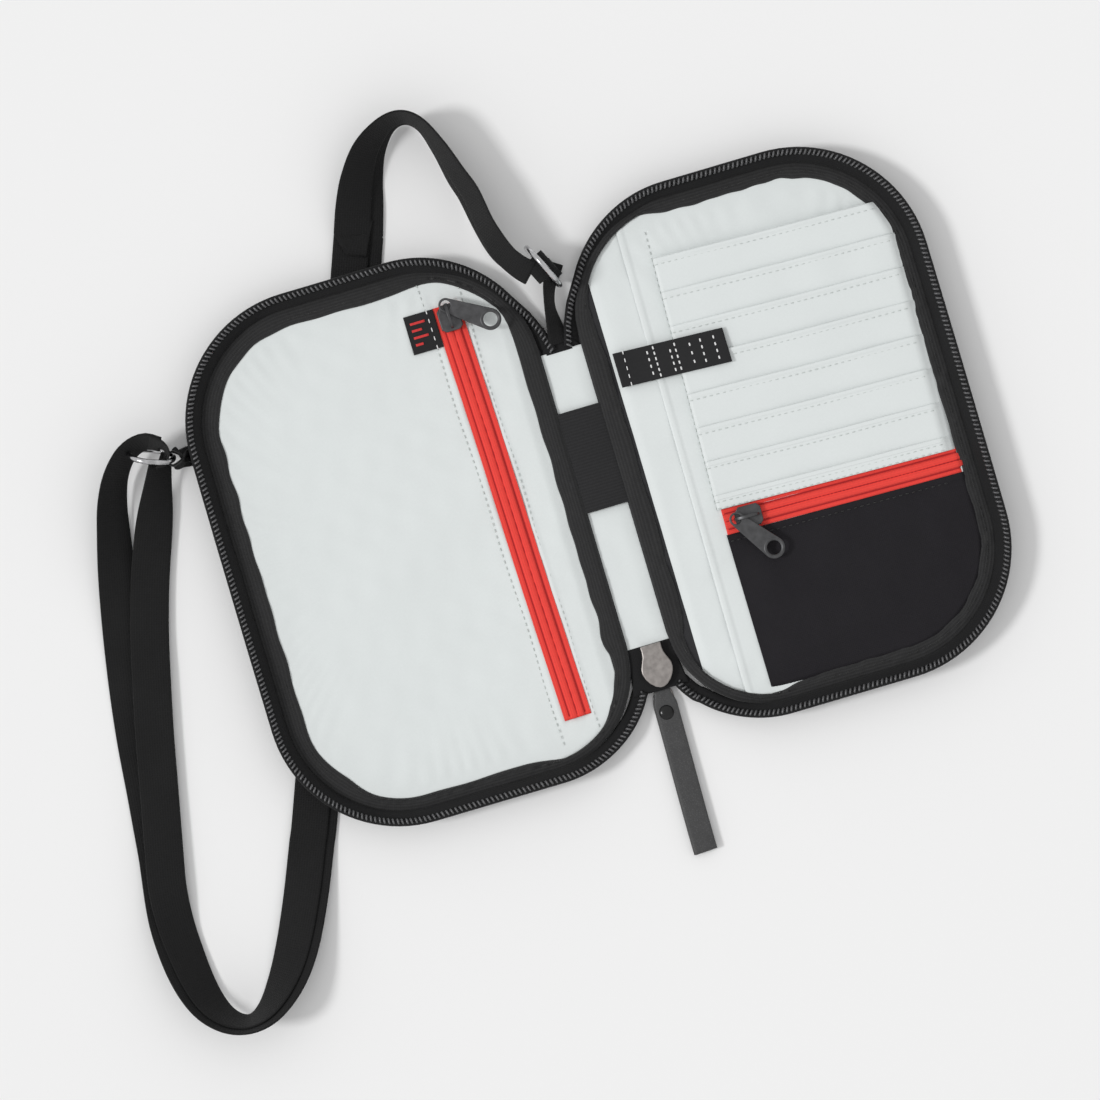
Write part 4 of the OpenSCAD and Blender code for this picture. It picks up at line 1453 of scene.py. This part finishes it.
    def build_rings(self) -> None:
        """Both rings: wire rings that stand on edge."""
        post = np.array([-145.5, 52.8, 10])
        r = 8.2
        centre = post + np.array([-0.92 * r, 0.39 * r, 0])
        obj = torus("side_ring_wire", centre, math.degrees(math.atan2(0.39, -0.92)), r, 1.0, 16)
        dress(obj, "nickel", "side_ring", "nickel", "side_ring")
        top = np.array(self.top_ring) + np.array([0, 0, 9.0])
        obj = torus("top_ring_wire", top, self.ring_turn, 9.0, 1.0)
        dress(obj, "nickel", "top_ring", "nickel", "top_ring")
        sewn = self.fold_strip("strap_sewn_loop", (
            (-5.4, 17.9), (-3, 18.2), (-0.4, 18.1), (1.7, 17.7), (2.7, 16.7), (1.7, 15.6),
            (-0.4, 15.3), (-3, 15.6), (-5.0, 16.2)), -4.7, 4.2)
        dress(sewn, "webbing_black", "top_ring", "webbing", "strap_sewn_end")

    def build_tabs(self) -> None:
        """Cloth tabs that hold the rings, and the plastic adjuster beneath the pouch."""
        side = np.array([
            (-135, 52.6, 2.6, 0), (-139.5, 52.6, 3.4, 24), (-142.4, 53.0, 6.4, 62),
            (-143.6, 54.3, 9, 84), (-145.6, 55.3, 10, 88), (-147.7, 54.2, 10, 88),
            (-148.0, 52.2, 10, 88), (-146.3, 50.4, 10, 88), (-144, 50.8, 9.4, 84),
            (-141.8, 51.8, 5.4, 56), (-139, 52.2, 2.6, 20), (-135, 52.2, 1.9, 0)], float)
        obj = band("side_tab_web", through(side, 120), 7.6, 0.8)
        dress(obj, "webbing_black", "left_half", "webbing", "side_tab")
        loop = self.fold_strip("top_tab_loop", (
            (3.9, 1.9), (3.0, 3.4), (1.4, 4.5), (-0.4, 4.7), (-1.8, 3.4), (-1.9, 1.9),
            (-0.6, 0.9), (1.4, 0.8), (3.6, 0.9)), -1.5, 6.0)
        dress(loop, "webbing_black", "left_half", "webbing", "top_tab")
        strip = np.array([(0.4, 53.5, 2.5, 10), (0.3, 60, 3.4, 40), (0.6, 67, 4.2, 62),
                          (2.4, 74, 4.2, 58), (5.4, 79.6, 3.6, 40), (6.6, 82, 3.2, 30)], float)
        obj = band("top_tab_strip", through(strip, 60), 7.5, 1.3)
        dress(obj, "webbing_black", "", "webbing")
        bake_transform(obj)
        adjuster = bpy.data.objects["strap_adjuster"]
        adjuster.data.materials.clear()
        adjuster.data.materials.append(MATERIALS["plastic_black"])


@dataclass
class Studio:
    """Floor, light and camera."""

    centre: tuple[float, float] = (-24.4, -17.5)
    distance: float = 1600.0
    field_width: float = 400.0
    turn: float = -16.5

    def build(self) -> None:
        """Builds the floor, the low key light, the sky fill and the camera overhead."""
        size = 2200.0
        verts = np.array([[-size, -size, -0.05], [size, -size, -0.05], [size, size, -0.05],
                          [-size, size, -0.05]])
        floor = make_object("floor", verts, [[0, 1, 2, 3]], flat=True)
        material = bpy.data.materials.new("pale_floor")
        material.use_nodes = True
        shader = material.node_tree.nodes["Principled BSDF"]
        shader.inputs["Base Color"].default_value = (0.86, 0.86, 0.86, 1)
        shader.inputs["Roughness"].default_value = 0.9
        shader.inputs["Specular IOR Level"].default_value = 0.1
        floor.data.materials.append(material)
        world = bpy.data.worlds.new("sky")
        bpy.context.scene.world = world
        world.use_nodes = True
        background = world.node_tree.nodes["Background"]
        background.inputs["Color"].default_value = (1, 1, 1, 1)
        background.inputs["Strength"].default_value = 0.72
        sun = bpy.data.lights.new("key", "SUN")
        sun.energy = 1.35
        sun.angle = math.radians(11)
        linked("key", sun).rotation_euler = (math.radians(-6), math.radians(-46), 0)
        camera = bpy.data.cameras.new("camera")
        camera.sensor_width = 36
        camera.lens = 36 * self.distance / self.field_width
        camera.clip_end = 20
        holder = linked("camera", camera)
        holder.location = (self.centre[0] * MM, self.centre[1] * MM, self.distance * MM)
        holder.rotation_euler = (0, 0, math.radians(self.turn))
        bpy.context.scene.camera = holder
        bpy.context.scene.view_settings.view_transform = "Standard"
        bpy.context.scene.view_settings.look = "None"


def main() -> None:
    """Builds the pouch in order."""
    logging.basicConfig(level=logging.INFO, format="%(name)s: %(message)s")
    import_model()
    Studio().build()
    build_materials()
    Strap().build()
    left = Half(Side.LEFT, 139.2, 47.5, spine_trim=0.2, low_trim=1.8)
    right = Half(Side.RIGHT, 137.4, 48.0, top=98.8, bottom=-99.0, band_reach=3.2,
                 spine_trim=-0.6, corner_trim=3.0)
    left.build_cover((np.array([-62.0, 103.0]), np.array([-134.5, -87.0])))
    right.build_cover(None)
    for half in (left, right):
        half.build_tape()
        half.build_chain()
        half.build_binding()
    ZipPocket(left).build()
    RedZip("left_red_zip", "left_half", (-33.7, 0.0), 1.3, 157.0, 10.0).build(
        "left_pocket_tape", "left_pocket_coil", "left_pocket_stops")
    PocketSlider("left", (-35.4, 73.5), 1.3, -33.7).build()
    CardPanel(right).build()
    RedZip("right_red_zip", "right_half", (83.5, -27.0), 88.6, 89.0, 9.5, True).build(
        "right_pocket_tape", "right_pocket_coil", "right_pocket_stops")
    PocketSlider("right", (48.0, -26.1), 88.6, -53.4).build()
    Spine().build()
    MainSlider().build()


if __name__ == "__main__":
    main()
